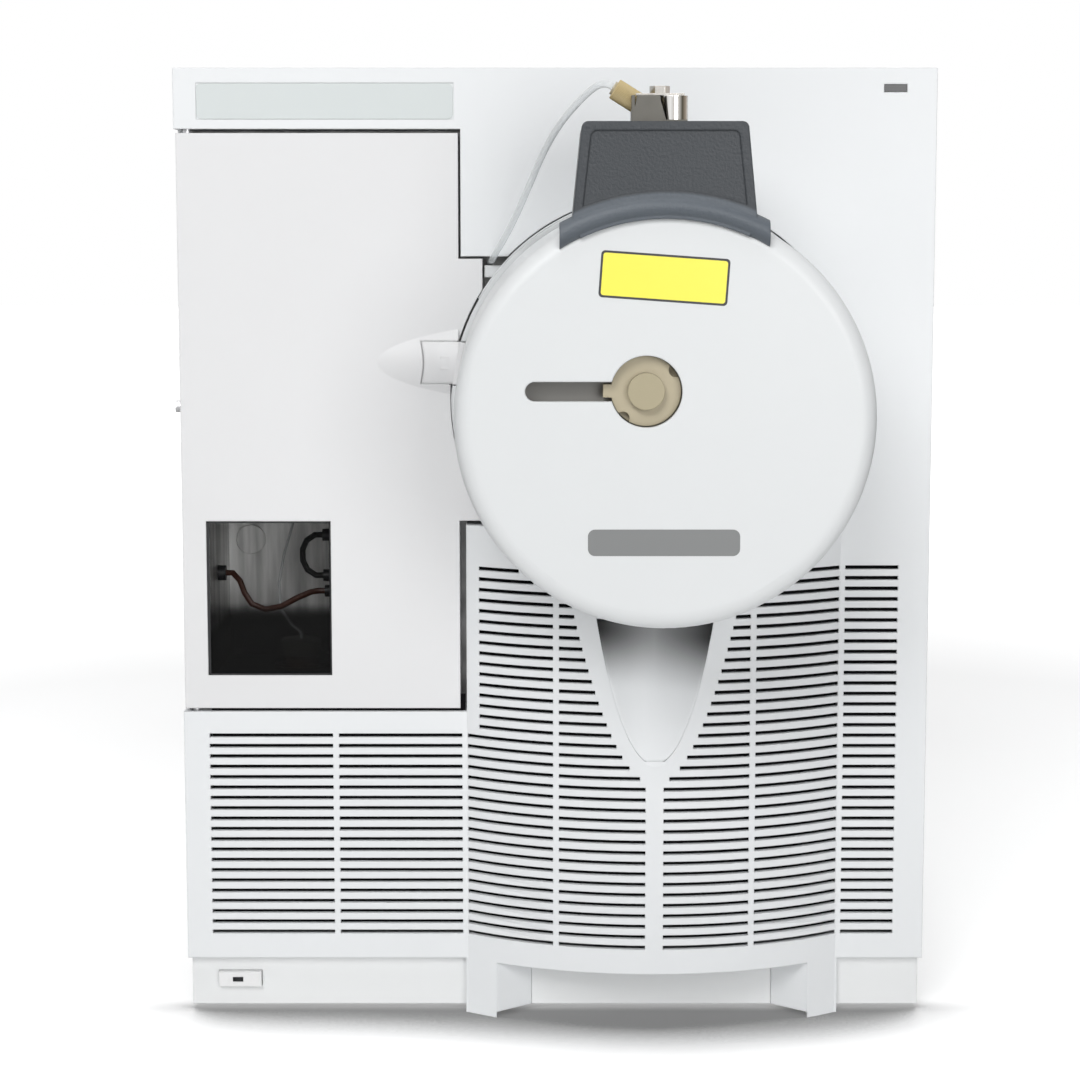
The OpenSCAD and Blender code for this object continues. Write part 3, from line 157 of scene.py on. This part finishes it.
CHROME = material("polished_steel", (0.78, 0.77, 0.75), 0.14, 1.0, edge=0.0004, mottle=0.04, mottle_size=0.006)
material("steel", (0.6, 0.6, 0.61), 0.3, 1.0, edge=0.0003, mottle=0.06, mottle_size=0.006)
material("aluminium", (0.62, 0.63, 0.64), 0.36, 1.0, edge=0.0006, grain=0.00001, grain_size=0.003,
         brushed=(1, 20, 20))
material("peek", (0.5, 0.44, 0.31), 0.42, edge=0.0006, mottle=0.06, mottle_size=0.005)
BLACK = material("black_plastic", (0.02, 0.02, 0.022), 0.42, edge=0.0005, grain=0.00002, grain_size=0.001)
SMOKED = material("smoked_window", (0.01, 0.01, 0.01), 0.3, alpha=0.12, specular=0.05)
material("chamber_dark", (0.36, 0.35, 0.33), 0.5, edge=0.0008, mottle=0.05)
material("status_black", (0.008, 0.008, 0.01), 0.15, edge=0.0003, mottle=0.03)
material("button_white", (0.84, 0.84, 0.84), 0.3, edge=0.0006, mottle=0.03)
material("rubber", (0.02, 0.02, 0.02), 0.75, edge=0.0006, grain=0.00002, grain_size=0.001)
TUBE = material("clear_tube", (0.84, 0.87, 0.88), 0.22, mottle=0.03)
# Painted shade: the orange tube is given a near-black brown, darker than its real orange, for the shade in the bay
material("orange_tube", (0.07, 0.02, 0.01), 0.35, mottle=0.03)
material("amber_glass", (0.16, 0.06, 0.012), 0.06, transmission=0.7, edge=0.0006)
material("ceramic", (0.8, 0.78, 0.72), 0.4, edge=0.0006, mottle=0.04)
material("molybdenum", (0.5, 0.47, 0.43), 0.25, 1.0, mottle=0.05)
material("board_green", (0.02, 0.12, 0.05), 0.4, edge=0.0003, mottle=0.06, mottle_size=0.01)
material("brass", (0.6, 0.45, 0.18), 0.28, 1.0, edge=0.0004, mottle=0.05)

# The bay's metal is streaked, and painted dark, as shade, below the height where no light falls
bay_tree = BAY.node_tree
stretched = add(bay_tree, "Mapping", {"Vector": add(bay_tree, "TexCoord").outputs["Object"],
                                      "Scale": (160, 160, 14)}).outputs["Vector"]
streaks = add(bay_tree, "TexNoise", {"Vector": stretched, "Scale": 1.0, "Detail": 5})
toned(BAY, math_node(bay_tree, "MULTIPLY", range_node(bay_tree, streaks.outputs["Fac"], 0.36, 0.66, 0.66, 1.2),
                     range_node(bay_tree, rest_xyz(bay_tree)["Z"], 0.190, 0.199, 0.01, 1.0, True)))

# Painted shade: the smoked pane is made more opaque over the bay's lower half, to darken the shade there
pane_tree = SMOKED.node_tree
pane_tree.links.new(range_node(pane_tree, rest_xyz(pane_tree)["Z"], 0.2065, 0.2155, 0.6, 0.12, True),
                    pane_tree.nodes["Principled BSDF"].inputs["Alpha"])

# Painted sheen: the saddle's rounded band, close to the drum, is made lighter than the housing's face, for the
# light its rounded glossy front catches
grey_tree = GREY.node_tree
here = rest_xyz(grey_tree)
across = math_node(grey_tree, "SUBTRACT", here["X"], DRUM_X)
above = math_node(grey_tree, "SUBTRACT", here["Z"], DRUM_Z)
reach = math_node(grey_tree, "SQRT", math_node(grey_tree, "ADD", math_node(grey_tree, "MULTIPLY", across, across),
                                               math_node(grey_tree, "MULTIPLY", above, above)))
toned(GREY, range_node(grey_tree, reach, 0.1008, 0.1022, 3.0, 1.0))

# Painted reflection: polished round pieces get the bright and dark bands of a room painted into their colour by the
# way they face, from their left side to their right
PAINTED_REFLECTION_BANDS = ((0.0, (0.2, 0.19, 0.17)), (0.12, (0.6, 0.58, 0.55)), (0.38, (0.8, 0.79, 0.77)),
                (0.5, (0.5, 0.48, 0.45)), (0.66, (0.55, 0.53, 0.5)), (0.78, (0.08, 0.07, 0.05)),
                (0.9, (0.3, 0.25, 0.2)), (1.0, (0.65, 0.63, 0.6)))
chrome_tree = CHROME.node_tree
turned = add(chrome_tree, "SeparateXYZ", {0: add(chrome_tree, "NewGeometry").outputs["Normal"]})
painted_bands = add(chrome_tree, "ValToRGB", {"Fac": range_node(chrome_tree, turned.outputs["X"], -1, 1, 0, 1)})
for k, (place, color) in enumerate(PAINTED_REFLECTION_BANDS):
    stop = painted_bands.color_ramp.elements[k] if k < 2 else painted_bands.color_ramp.elements.new(place)
    stop.position = place
    stop.color = (*color, 1)
chrome_tree.links.new(painted_bands.outputs["Color"], chrome_tree.nodes["Principled BSDF"].inputs["Base Color"])

# A clear tube is thin in the middle and milky at its edges
tube_tree = TUBE.node_tree
facing = add(tube_tree, "LayerWeight", {"Blend": 0.4}).outputs["Facing"]
tube_tree.links.new(range_node(tube_tree, facing, 0.1, 0.9, 0.35, 0.9),
                    tube_tree.nodes["Principled BSDF"].inputs["Alpha"])

for part in frame["record"]["subparts"]:
    o = nodes[part["node"]]
    o.data.materials.clear()
    o.data.materials.append(BY_SLOT[part["material_slot"]])
# Own looks for a few pieces: a tan knob, a black union, and the grommet in the bay's metal; painted shade: the
# bottle cap is given a dim near-black, darker than its real colour, for the shade in the bay
for name, m in (("needle_knob", material("knob_tan", (0.4, 0.35, 0.23), 0.4, edge=0.0008, mottle=0.05)),
                ("bottle_cap", material("cap_painted_shade", (0.045, 0.043, 0.033), 0.5, edge=0.0005, mottle=0.04)),
                ("bay_grommet", BAY), ("bay_union", BLACK)):
    nodes[name].data.materials[0] = m


# ---------------------------------------------------------------- ways to make a piece

def piece(name, bm, mat, body, smooth=False):
    """A piece from a closed shape, attached to its body if it has one."""
    bmesh.ops.recalc_face_normals(bm, faces=bm.faces)
    mesh = bpy.data.meshes.new(name)
    bm.to_mesh(mesh)
    bm.free()
    mesh.polygons.foreach_set("use_smooth", [smooth] * len(mesh.polygons))
    mesh.materials.append(mat)
    o = bpy.data.objects.new(name, mesh)
    bpy.context.scene.collection.objects.link(o)
    if body:
        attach(o, body)
    return o


def skin(bm, rings):
    """Faces between closed rings of vertices, and over both ends."""
    for a, b in zip(rings, rings[1:]):
        for k in range(len(a)):
            q = (k + 1) % len(a)
            bm.faces.new((a[k], b[k], b[q], a[q]))
    bm.faces.new(rings[-1])
    bm.faces.new(list(reversed(rings[0])))


def rounded(w, h, r, n=6):
    """The corners of a w by h rectangle with round corners, anticlockwise."""
    points = []
    for cx, cy, a0 in ((w / 2 - r, h / 2 - r, 0), (-w / 2 + r, h / 2 - r, 90), (-w / 2 + r, -h / 2 + r, 180),
                       (w / 2 - r, -h / 2 + r, 270)):
        for k in range(n + 1):
            a = math.radians(a0 + 90 * k / n)
            points.append((cx + r * math.cos(a), cy + r * math.sin(a)))
    return points


def plate(name, centre, w, h, r, t, mat, body, turn=0.0, soft=0.15):
    """A thin plate that faces the front, its back at the centre's depth, sizes in millimetres."""
    bm = bmesh.new()
    skin(bm, [[bm.verts.new((x, -depth, z)) for x, z in
               rounded(w - 2 * inset, h - 2 * inset, max(r - inset, 0.05))]
              for inset, depth in ((0, 0), (0, t - soft), (soft, t))])
    bmesh.ops.rotate(bm, verts=bm.verts, matrix=Matrix.Rotation(math.radians(turn), 3, "Y"))
    bmesh.ops.scale(bm, verts=bm.verts, vec=(0.001, 0.001, 0.001))
    bmesh.ops.translate(bm, verts=bm.verts, vec=at(*centre))
    return piece(name, bm, mat, body)


def sweep(name, route, r, mat, body, steps=8, sides=16):
    """A round tube along a smooth curve through the route's points, in metres."""
    curve = []
    for i in range(len(route) - 1):
        p0, p1, p2, p3 = route[max(i - 1, 0)], route[i], route[i + 1], route[min(i + 2, len(route) - 1)]
        for k in range(steps):
            t = k / steps
            curve.append(0.5 * ((2 * p1) + (p2 - p0) * t + (2 * p0 - 5 * p1 + 4 * p2 - p3) * t * t
                                + (3 * p1 - p0 - 3 * p2 + p3) * t * t * t))
    curve.append(route[-1])
    bm = bmesh.new()
    rings = []
    ref = None
    for i, c in enumerate(curve):
        d = (curve[min(i + 1, len(curve) - 1)] - curve[max(i - 1, 0)]).normalized()
        ref = (Vector((0, 0, 1)).cross(d) if ref is None else ref - d * ref.dot(d)).normalized()
        side = d.cross(ref)
        rings.append([bm.verts.new(c + r * (math.cos(a) * ref + math.sin(a) * side))
                      for a in (2 * math.pi * k / sides for k in range(sides))])
    skin(bm, rings)
    return piece(name, bm, mat, body, True)


def sheet(name, sides, rows, columns, point, mat, body, smooth=True):
    """A closed thin sheet between two grids of points of the CAD source, in millimetres.

    The point at a row and a column is point(side, row, column), for each of the two sides.
    """
    bm = bmesh.new()
    a, b = ([[bm.verts.new(at(*point(s, i, k))) for k in range(columns)] for i in range(rows)] for s in sides)
    for i in range(rows - 1):
        for k in range(columns - 1):
            bm.faces.new((a[i][k], a[i][k + 1], a[i + 1][k + 1], a[i + 1][k]))
            bm.faces.new((b[i][k], b[i + 1][k], b[i + 1][k + 1], b[i][k + 1]))
    rim = ([(0, k) for k in range(columns)] + [(i, columns - 1) for i in range(1, rows)]
           + [(rows - 1, k) for k in range(columns - 2, -1, -1)] + [(i, 0) for i in range(rows - 2, 0, -1)])
    for p, q in zip(rim, rim[1:] + rim[:1]):
        bm.faces.new((a[p[0]][p[1]], b[p[0]][p[1]], b[q[0]][q[1]], a[q[0]][q[1]]))
    return piece(name, bm, mat, body, smooth)


# ---------------------------------------------------------------- tube and plates

# The nebulizer's tube: the same points as in the CAD source, in millimetres
TUBE_ROUTE = [(27.2, -110, 466.55), (24.1, -110, 468.5), (19, -107, 468), (11.5, -99, 462), (2.5, -86, 452),
              (-5, -70, 440), (-12, -51, 425), (-19, -32, 410), (-25, -17, 399), (-29, -8, 392.6),
              (-30.6, -3, 389.8), (-31.6, 1, 388.1), (-32.2, 6, 387.8), (-32.8, 10, 387), (-34, 14, 384),
              (-40, 19.5, 378), (-47.5, 22, 373), (-52.5, 22, 369), (-54, 22, 365.5), (-54, 22, 363)]
TUBE_R = 0.0016
route = [at(*p) for p in TUBE_ROUTE]
tube = sweep("tube_nebulizer", route, TUBE_R, TUBE, None)
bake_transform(tube)
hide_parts("nebulizer_tube")

PLATE = material("plate_grey", (0.67, 0.71, 0.705), 0.3, coat=0.2, mottle=0.03)
YELLOW = material("plate_yellow", (0.95, 0.86, 0.1), 0.32, mottle=0.04)
BORDER = material("plate_border", (0.035, 0.035, 0.04), 0.4, mottle=0.04)
SILVER = material("plate_silver", (0.22, 0.225, 0.225), 0.4, mottle=0.05)

# The drum's front is at -136; the yellow plate drops 4.1 over its 57.6 to the right
DRUM_FRONT = -136
turn = math.degrees(math.atan2(4.1, 57.6))
plate("plate_name", (-114.65, 0.4, 466.55), 127.4, 17.4, 2.2, 0.5, PLATE, "instrument")
plate("plate_yellow_border", (48.95, DRUM_FRONT, 381.7), 57.9, 21.0, 1.8, 0.15, BORDER, "source",
      turn, 0.05)
plate("plate_yellow_face", (48.95, DRUM_FRONT - 0.15, 381.7), 55.9, 19.0, 1.2, 0.05, YELLOW, "source",
      turn, 0.02)
plate("plate_grey_face", (49.4, DRUM_FRONT, 262.35), 69.0, 12.1, 3.2, 0.15, SILVER, "source", 0, 0.05)


# ---------------------------------------------------------------- round the hinge and the drum

# The hinge's axis and middle, the radius of its notch, and the fairing's tip, radius and slope
HINGE_X, HINGE_Y, HINGE_Z = -57.5, 2.5, 337
NOTCH_R = 10.7
FAIR_X, FAIR_R, FAIR_TILT = -89.5, 24, math.tan(math.radians(9.5))


def fairing_y(x, dz):
    """Depth of the fairing's surface at a width and a height off its middle."""
    return (-FAIR_TILT * (x - FAIR_X)
            + (FAIR_R - math.sqrt(FAIR_R * FAIR_R - dz * dz)) / math.cos(math.atan(FAIR_TILT)))


def turned_x(r, y):
    """Left side, at a depth, of a round of radius r about the hinge's axis."""
    return HINGE_X - math.sqrt(max(r * r - (y - HINGE_Y) ** 2, 0))


SKIN = material("door_skin", DOOR_COLOR, 0.45, mottle=0.04)

# Lips on the door's notch that take up most of the gap round the source's arm
LIP_LEFT = -67.4


def lip_over(dz, row, column):
    x = LIP_LEFT + (lip_right - LIP_LEFT) * row / 6
    return x, fairing_y(x, 11) + 0.02 + 1.2 * column, HINGE_Z + dz


for name, up, lip_right in (("notch_lip_top", 1, -49.2), ("notch_lip_low", -1, -53.2)):
    sheet(name, (up * 11.05, up * NOTCH_R), 7, 3, lip_over, SKIN, "door", False)


def lip_beside(r, row, column):
    dz = -11 + 2.2 * row
    front = fairing_y(HINGE_X - r * math.cos(math.radians(20)), dz) + 0.02
    y = front + (2.0 - front) * column / 2
    return turned_x(r, y), y, HINGE_Z + dz


sheet("notch_lip_side", (NOTCH_R + 0.1, NOTCH_R - 0.1), 11, 3, lip_beside, SKIN, "door")

# Smooth face over the source's arm, from a left edge that turns inside the notch, fuller over the arm's block
FACE_R, FACE_RIGHT = 10.45, -48
FULL_X, FULL_HALF = -58.5, 6


def arm_point(thick, row, column):
    dz = -10.56 + 1.32 * column
    left = -66.0
    for _ in range(12):
        left = turned_x(FACE_R, fairing_y(left, dz) - 0.05)
    x = left + (FACE_RIGHT - left) * row / 16
    full = math.cos(math.pi * (x - FULL_X) / (2 * FULL_HALF)) ** 2 if abs(x - FULL_X) < FULL_HALF else 0
    full *= max(0, math.cos(math.pi * dz / 21.2)) ** 0.7
    return x, fairing_y(x, dz) + 0.03 - thick * (0.04 + 0.78 * full), HINGE_Z + dz


sheet("arm_face", (1, 0), 17, 17, arm_point, SKIN, "source")


# Lip on the fixed collar that takes up the gap round the drum, save where the hinge's arm goes through
def collar_point(r, row, column):
    a = math.radians(174 + 336 * row / 120)
    return SOURCE_X + r * math.cos(a), (0.3, 2.6)[column], SOURCE_Z + r * math.sin(a)


sheet("collar_lip", (102.35, 101.45), 121, 2, collar_point, WHITE, "instrument")


# ---------------------------------------------------------------- chute and grille

# The bulge is a round of radius BULGE_R that stands BULGE_RISE out; the chute is a tilted round
BULGE_RISE, BULGE_R = 30, (95 * 95 + 30 * 30) / 60
CHUTE_R, CHUTE_Z, CHUTE_TILT = 40, 136, math.radians(12)


def bulge_y(dx, back=0.0):
    """Depth of the bulge's surface, or of one further back, at a width off its middle."""
    return BULGE_R - BULGE_RISE - math.sqrt((BULGE_R - back) ** 2 - dx * dx)


def chute_point(r, degrees, s):
    """Width, depth and height of a point at a distance s along a round of radius r in the chute."""
    a = math.radians(degrees)
    deep = -CHUTE_R + r * math.cos(a)
    return (r * math.sin(a), -BULGE_RISE + deep * math.cos(CHUTE_TILT) + s * math.sin(CHUTE_TILT),
            CHUTE_Z - deep * math.sin(CHUTE_TILT) + s * math.cos(CHUTE_TILT))


# Smooth lining of the chute, which ends just behind the bulge's surface and carries the chute's painted shade
def lining_point(inset, row, column):
    s = 2.6 + 71.0 * row / 40
    lo, hi = 0.0, 70.0
    for _ in range(30):
        mid = (lo + hi) / 2
        dx, y, _z = chute_point(CHUTE_R - inset, mid, s)
        if y > bulge_y(dx) + 0.15:
            lo = mid
        else:
            hi = mid
    dx, y, z = chute_point(CHUTE_R - inset, lo * (column - 12) / 12, s)
    return SOURCE_X + dx, y, z


CHUTE = material("chute_lining", COVER_COLOR, 0.42, mottle=0.04)
sheet("chute_lining", (0.25, 0.02), 41, 25, lining_point, CHUTE, "instrument")

# Painted shade: the lining is darkened under the drum, most at the sides, and light again lower down, for the
# drum's shadow and the chute's depth
chute_tree = CHUTE.node_tree
here = rest_xyz(chute_tree)
off = math_node(chute_tree, "SUBTRACT", here["X"], DRUM_X)
lean = math_node(chute_tree, "ADD", here["Z"], math_node(chute_tree, "MULTIPLY", off, 0.08))
lower = range_node(chute_tree, lean, 0.204, 0.172, 0.0, 1.0, True)
upper = range_node(chute_tree, math_node(chute_tree, "ABSOLUTE", off), 0.0, 0.028, 0.36, 0.0)
gain = math_node(chute_tree, "MULTIPLY", math_node(chute_tree, "SUBTRACT", 1.0, upper), lower)
toned(CHUTE, math_node(chute_tree, "ADD", upper, gain))

# Painted shade: a black sheet close behind the grille, so that the slots show black as in deep shade: depths of its
# front and back, lowest edge, and edge at the bulge
SLOT_SHADE = material("slot_shade_black", (0.006, 0.006, 0.007), 0.9, specular=0.1, mottle=0.05)
SLOT_SHADE_DEPTHS = (3.4, 4.2)
SLOT_SHADE_LOW, SLOT_SHADE_HALF_W = 44, 94

for name, left, right, top in (("slot_shade_left", -176, -46, 167), ("slot_shade_right", 144.6, 175.5, 252)):
    sheet(name, SLOT_SHADE_DEPTHS, 5, 5, lambda y, row, column: (left + (right - left) * row / 4, y,
                                                     SLOT_SHADE_LOW + (top - SLOT_SHADE_LOW) * column / 4),
          SLOT_SHADE, "instrument", False)


def beside_chute(z):
    """Half width at which the black sheet behind the bulge clears the chute's wall and the round opening."""
    dx = 0.2
    while dx < SLOT_SHADE_HALF_W - 1:
        y = bulge_y(dx, SLOT_SHADE_DEPTHS[0]) + BULGE_RISE
        deep = y * math.cos(CHUTE_TILT) - (z - CHUTE_Z) * math.sin(CHUTE_TILT)
        if math.hypot(dx, deep + CHUTE_R) > CHUTE_R + 3.5 and math.hypot(dx, z - SOURCE_Z) > 107:
            return dx
        dx += 0.4
    return dx


for name, side in (("slot_shade_bulge_left", -1), ("slot_shade_bulge_right", 1)):
    def bulge_slot_shade(back, row, column):
        z = SLOT_SHADE_LOW + 208 * row / 51
        inner = beside_chute(z)
        dx = inner + (SLOT_SHADE_HALF_W - inner) * column / 12
        return SOURCE_X + side * dx, bulge_y(dx, back), z

    sheet(name, SLOT_SHADE_DEPTHS, 52, 13, bulge_slot_shade, SLOT_SHADE, "instrument")


# ---------------------------------------------------------------- fitting and window

# Knurled head of the tube's fitting, in rings at distances along its slope
KNURL = material("knurled_tan", (0.5, 0.4, 0.21), 0.42, mottle=0.05)
SLOPE_X, SLOPE_Z = -math.cos(math.radians(32)), math.sin(math.radians(32))
HEAD_FOOT = (TUBE_ROUTE[0][0] - 13 * SLOPE_X, TUBE_ROUTE[0][1], TUBE_ROUTE[0][2] - 13 * SLOPE_Z)
HEAD_BORE = 4.42
HEAD_RINGS = ((1.2, 4.5), (1.6, 4.8), (12.6, 4.8), (13.2, 4.5))


def knurl_point(bore, row, column):
    along, r = HEAD_RINGS[row]
    r = bore or r + (0.14 if column % 2 else -0.06)
    a = 2 * math.pi * column / 96
    u, v = r * math.cos(a), r * math.sin(a)
    return (HEAD_FOOT[0] + along * SLOPE_X - v * SLOPE_Z, HEAD_FOOT[1] + u,
            HEAD_FOOT[2] + along * SLOPE_Z + v * SLOPE_X)


sheet("fitting_head", (None, HEAD_BORE), len(HEAD_RINGS), 97, knurl_point, KNURL, "source", False)

# Thin dark frame round the window
WIN_X, WIN_Z, WIN_W, WIN_H = -177.0, 177.3, 63.2, 79.2
for name, cx, cz, w, h in (("top", 0, WIN_H / 2 - 0.5, WIN_W, 1.0), ("low", 0, -WIN_H / 2 + 0.4, WIN_W, 0.8),
                           ("left", -WIN_W / 2 + 0.7, 0, 1.4, WIN_H), ("right", WIN_W / 2 - 0.4, 0, 0.8, WIN_H)):
    plate("window_edge_" + name, (WIN_X + WIN_W / 2 + cx, 0.9, WIN_Z + WIN_H / 2 + cz), w, h, 0.3, 0.3, BLACK,
          "door", 0, 0.05)


# ---------------------------------------------------------------- stage

# A weak cool light all round, which the camera, mirrors and glass see as white
world = bpy.data.worlds.new("studio")
bpy.context.scene.world = world
world.use_nodes = True
w = world.node_tree
w.nodes.clear()
fill = add(w, "Background", {"Color": (0.96, 0.98, 1.0, 1), "Strength": 0.14})
seen = add(w, "Background", {"Color": (1, 1, 1, 1), "Strength": 1.0})
path = add(w, "LightPath").outputs
either = math_node(w, "MAXIMUM", path["Is Camera Ray"], path["Is Transmission Ray"])
shown = math_node(w, "MAXIMUM", either, path["Is Glossy Ray"])
mix = add(w, "MixShader", {"Fac": shown, 1: fill.outputs[0], 2: seen.outputs[0]})
add(w, "OutputWorld", {"Surface": mix.outputs[0]})

FLOOR_HALF = 12.0
floor_mesh = bpy.data.meshes.new("floor")
floor_mesh.from_pydata([(x * FLOOR_HALF, y * FLOOR_HALF, 0) for x, y in ((-1, -1), (1, -1), (1, 1), (-1, 1))],
                       [], [(0, 1, 2, 3)])
floor = bpy.data.objects.new("floor", floor_mesh)
bpy.context.scene.collection.objects.link(floor)
floor_look = bpy.data.materials.new("floor")
floor_look.use_nodes = True
ft = floor_look.node_tree
ft.nodes.clear()

# Seen by the camera, the floor is white away from the instrument, with a soft painted shadow in front of it,
# darkest where the instrument is close
camera_ray = add(ft, "LightPath").outputs["Is Camera Ray"]
near = add(ft, "AmbientOcclusion", {"Distance": 0.085}, samples=8)
spot = add(ft, "NewGeometry").outputs["Position"]
in_front = range_node(ft, add(ft, "SeparateXYZ", {0: spot}).outputs["Y"], -0.292, -0.27, 1.0, 0.12, True)
shade = math_node(ft, "MULTIPLY", range_node(ft, near.outputs["AO"], 0.48, 0.93, 0.8, 0.0, True), in_front)
soft = math_node(ft, "SUBTRACT", 1.0, shade)
away = add(ft, "VectorMath", {0: spot}, operation="LENGTH")
far = range_node(ft, away.outputs["Value"], 0.8, 1.8, 0.0, 0.6)
glow = math_node(ft, "MULTIPLY", camera_ray, math_node(ft, "ADD", math_node(ft, "MULTIPLY", soft, 0.55), far))
dim = math_node(ft, "SUBTRACT", 1.0, math_node(ft, "MULTIPLY", camera_ray, math_node(ft, "SUBTRACT", 1.0, soft)))
matt = add(ft, "BsdfDiffuse", {"Color": scaled(ft, (0.88, 0.88, 0.88), dim)})
lit = add(ft, "Emission", {"Strength": glow})
both = add(ft, "AddShader", {0: matt.outputs[0], 1: lit.outputs[0]})
add(ft, "OutputMaterial", {"Surface": both.outputs[0]})
floor_mesh.materials.append(floor_look)


def area(name, place, aim, size, power):
    light = bpy.data.lights.new(name, "AREA")
    light.shape = "RECTANGLE"
    light.size, light.size_y = size
    light.energy = power
    o = bpy.data.objects.new(name, light)
    bpy.context.scene.collection.objects.link(o)
    o.location = place
    o.rotation_euler = (Vector(aim) - Vector(place)).to_track_quat("-Z", "Y").to_euler()


area("key", (-0.6, -2.4, 1.6), (0, -0.2, 0.25), (1.1, 1.0), 28)
area("side", (0.7, -2.4, 0.6), (0, -0.1, 0.2), (0.9, 0.9), 13)
area("top", (0.0, -0.5, 2.4), (0, -0.3, 0.4), (1.6, 1.6), 20)

camera = bpy.data.cameras.new("camera")
camera.lens = 84.0
camera.sensor_width = 36.0
camera.shift_x = -15 / 1080
camera.clip_start = 0.05
camera.clip_end = 50
cam = bpy.data.objects.new("camera", camera)
bpy.context.scene.collection.objects.link(cam)
cam.location = (0.001, -1.5618, 0.4028)
cam.rotation_euler = (math.radians(83), 0, 0)
bpy.context.scene.camera = cam
bpy.context.scene.view_settings.view_transform = "Standard"
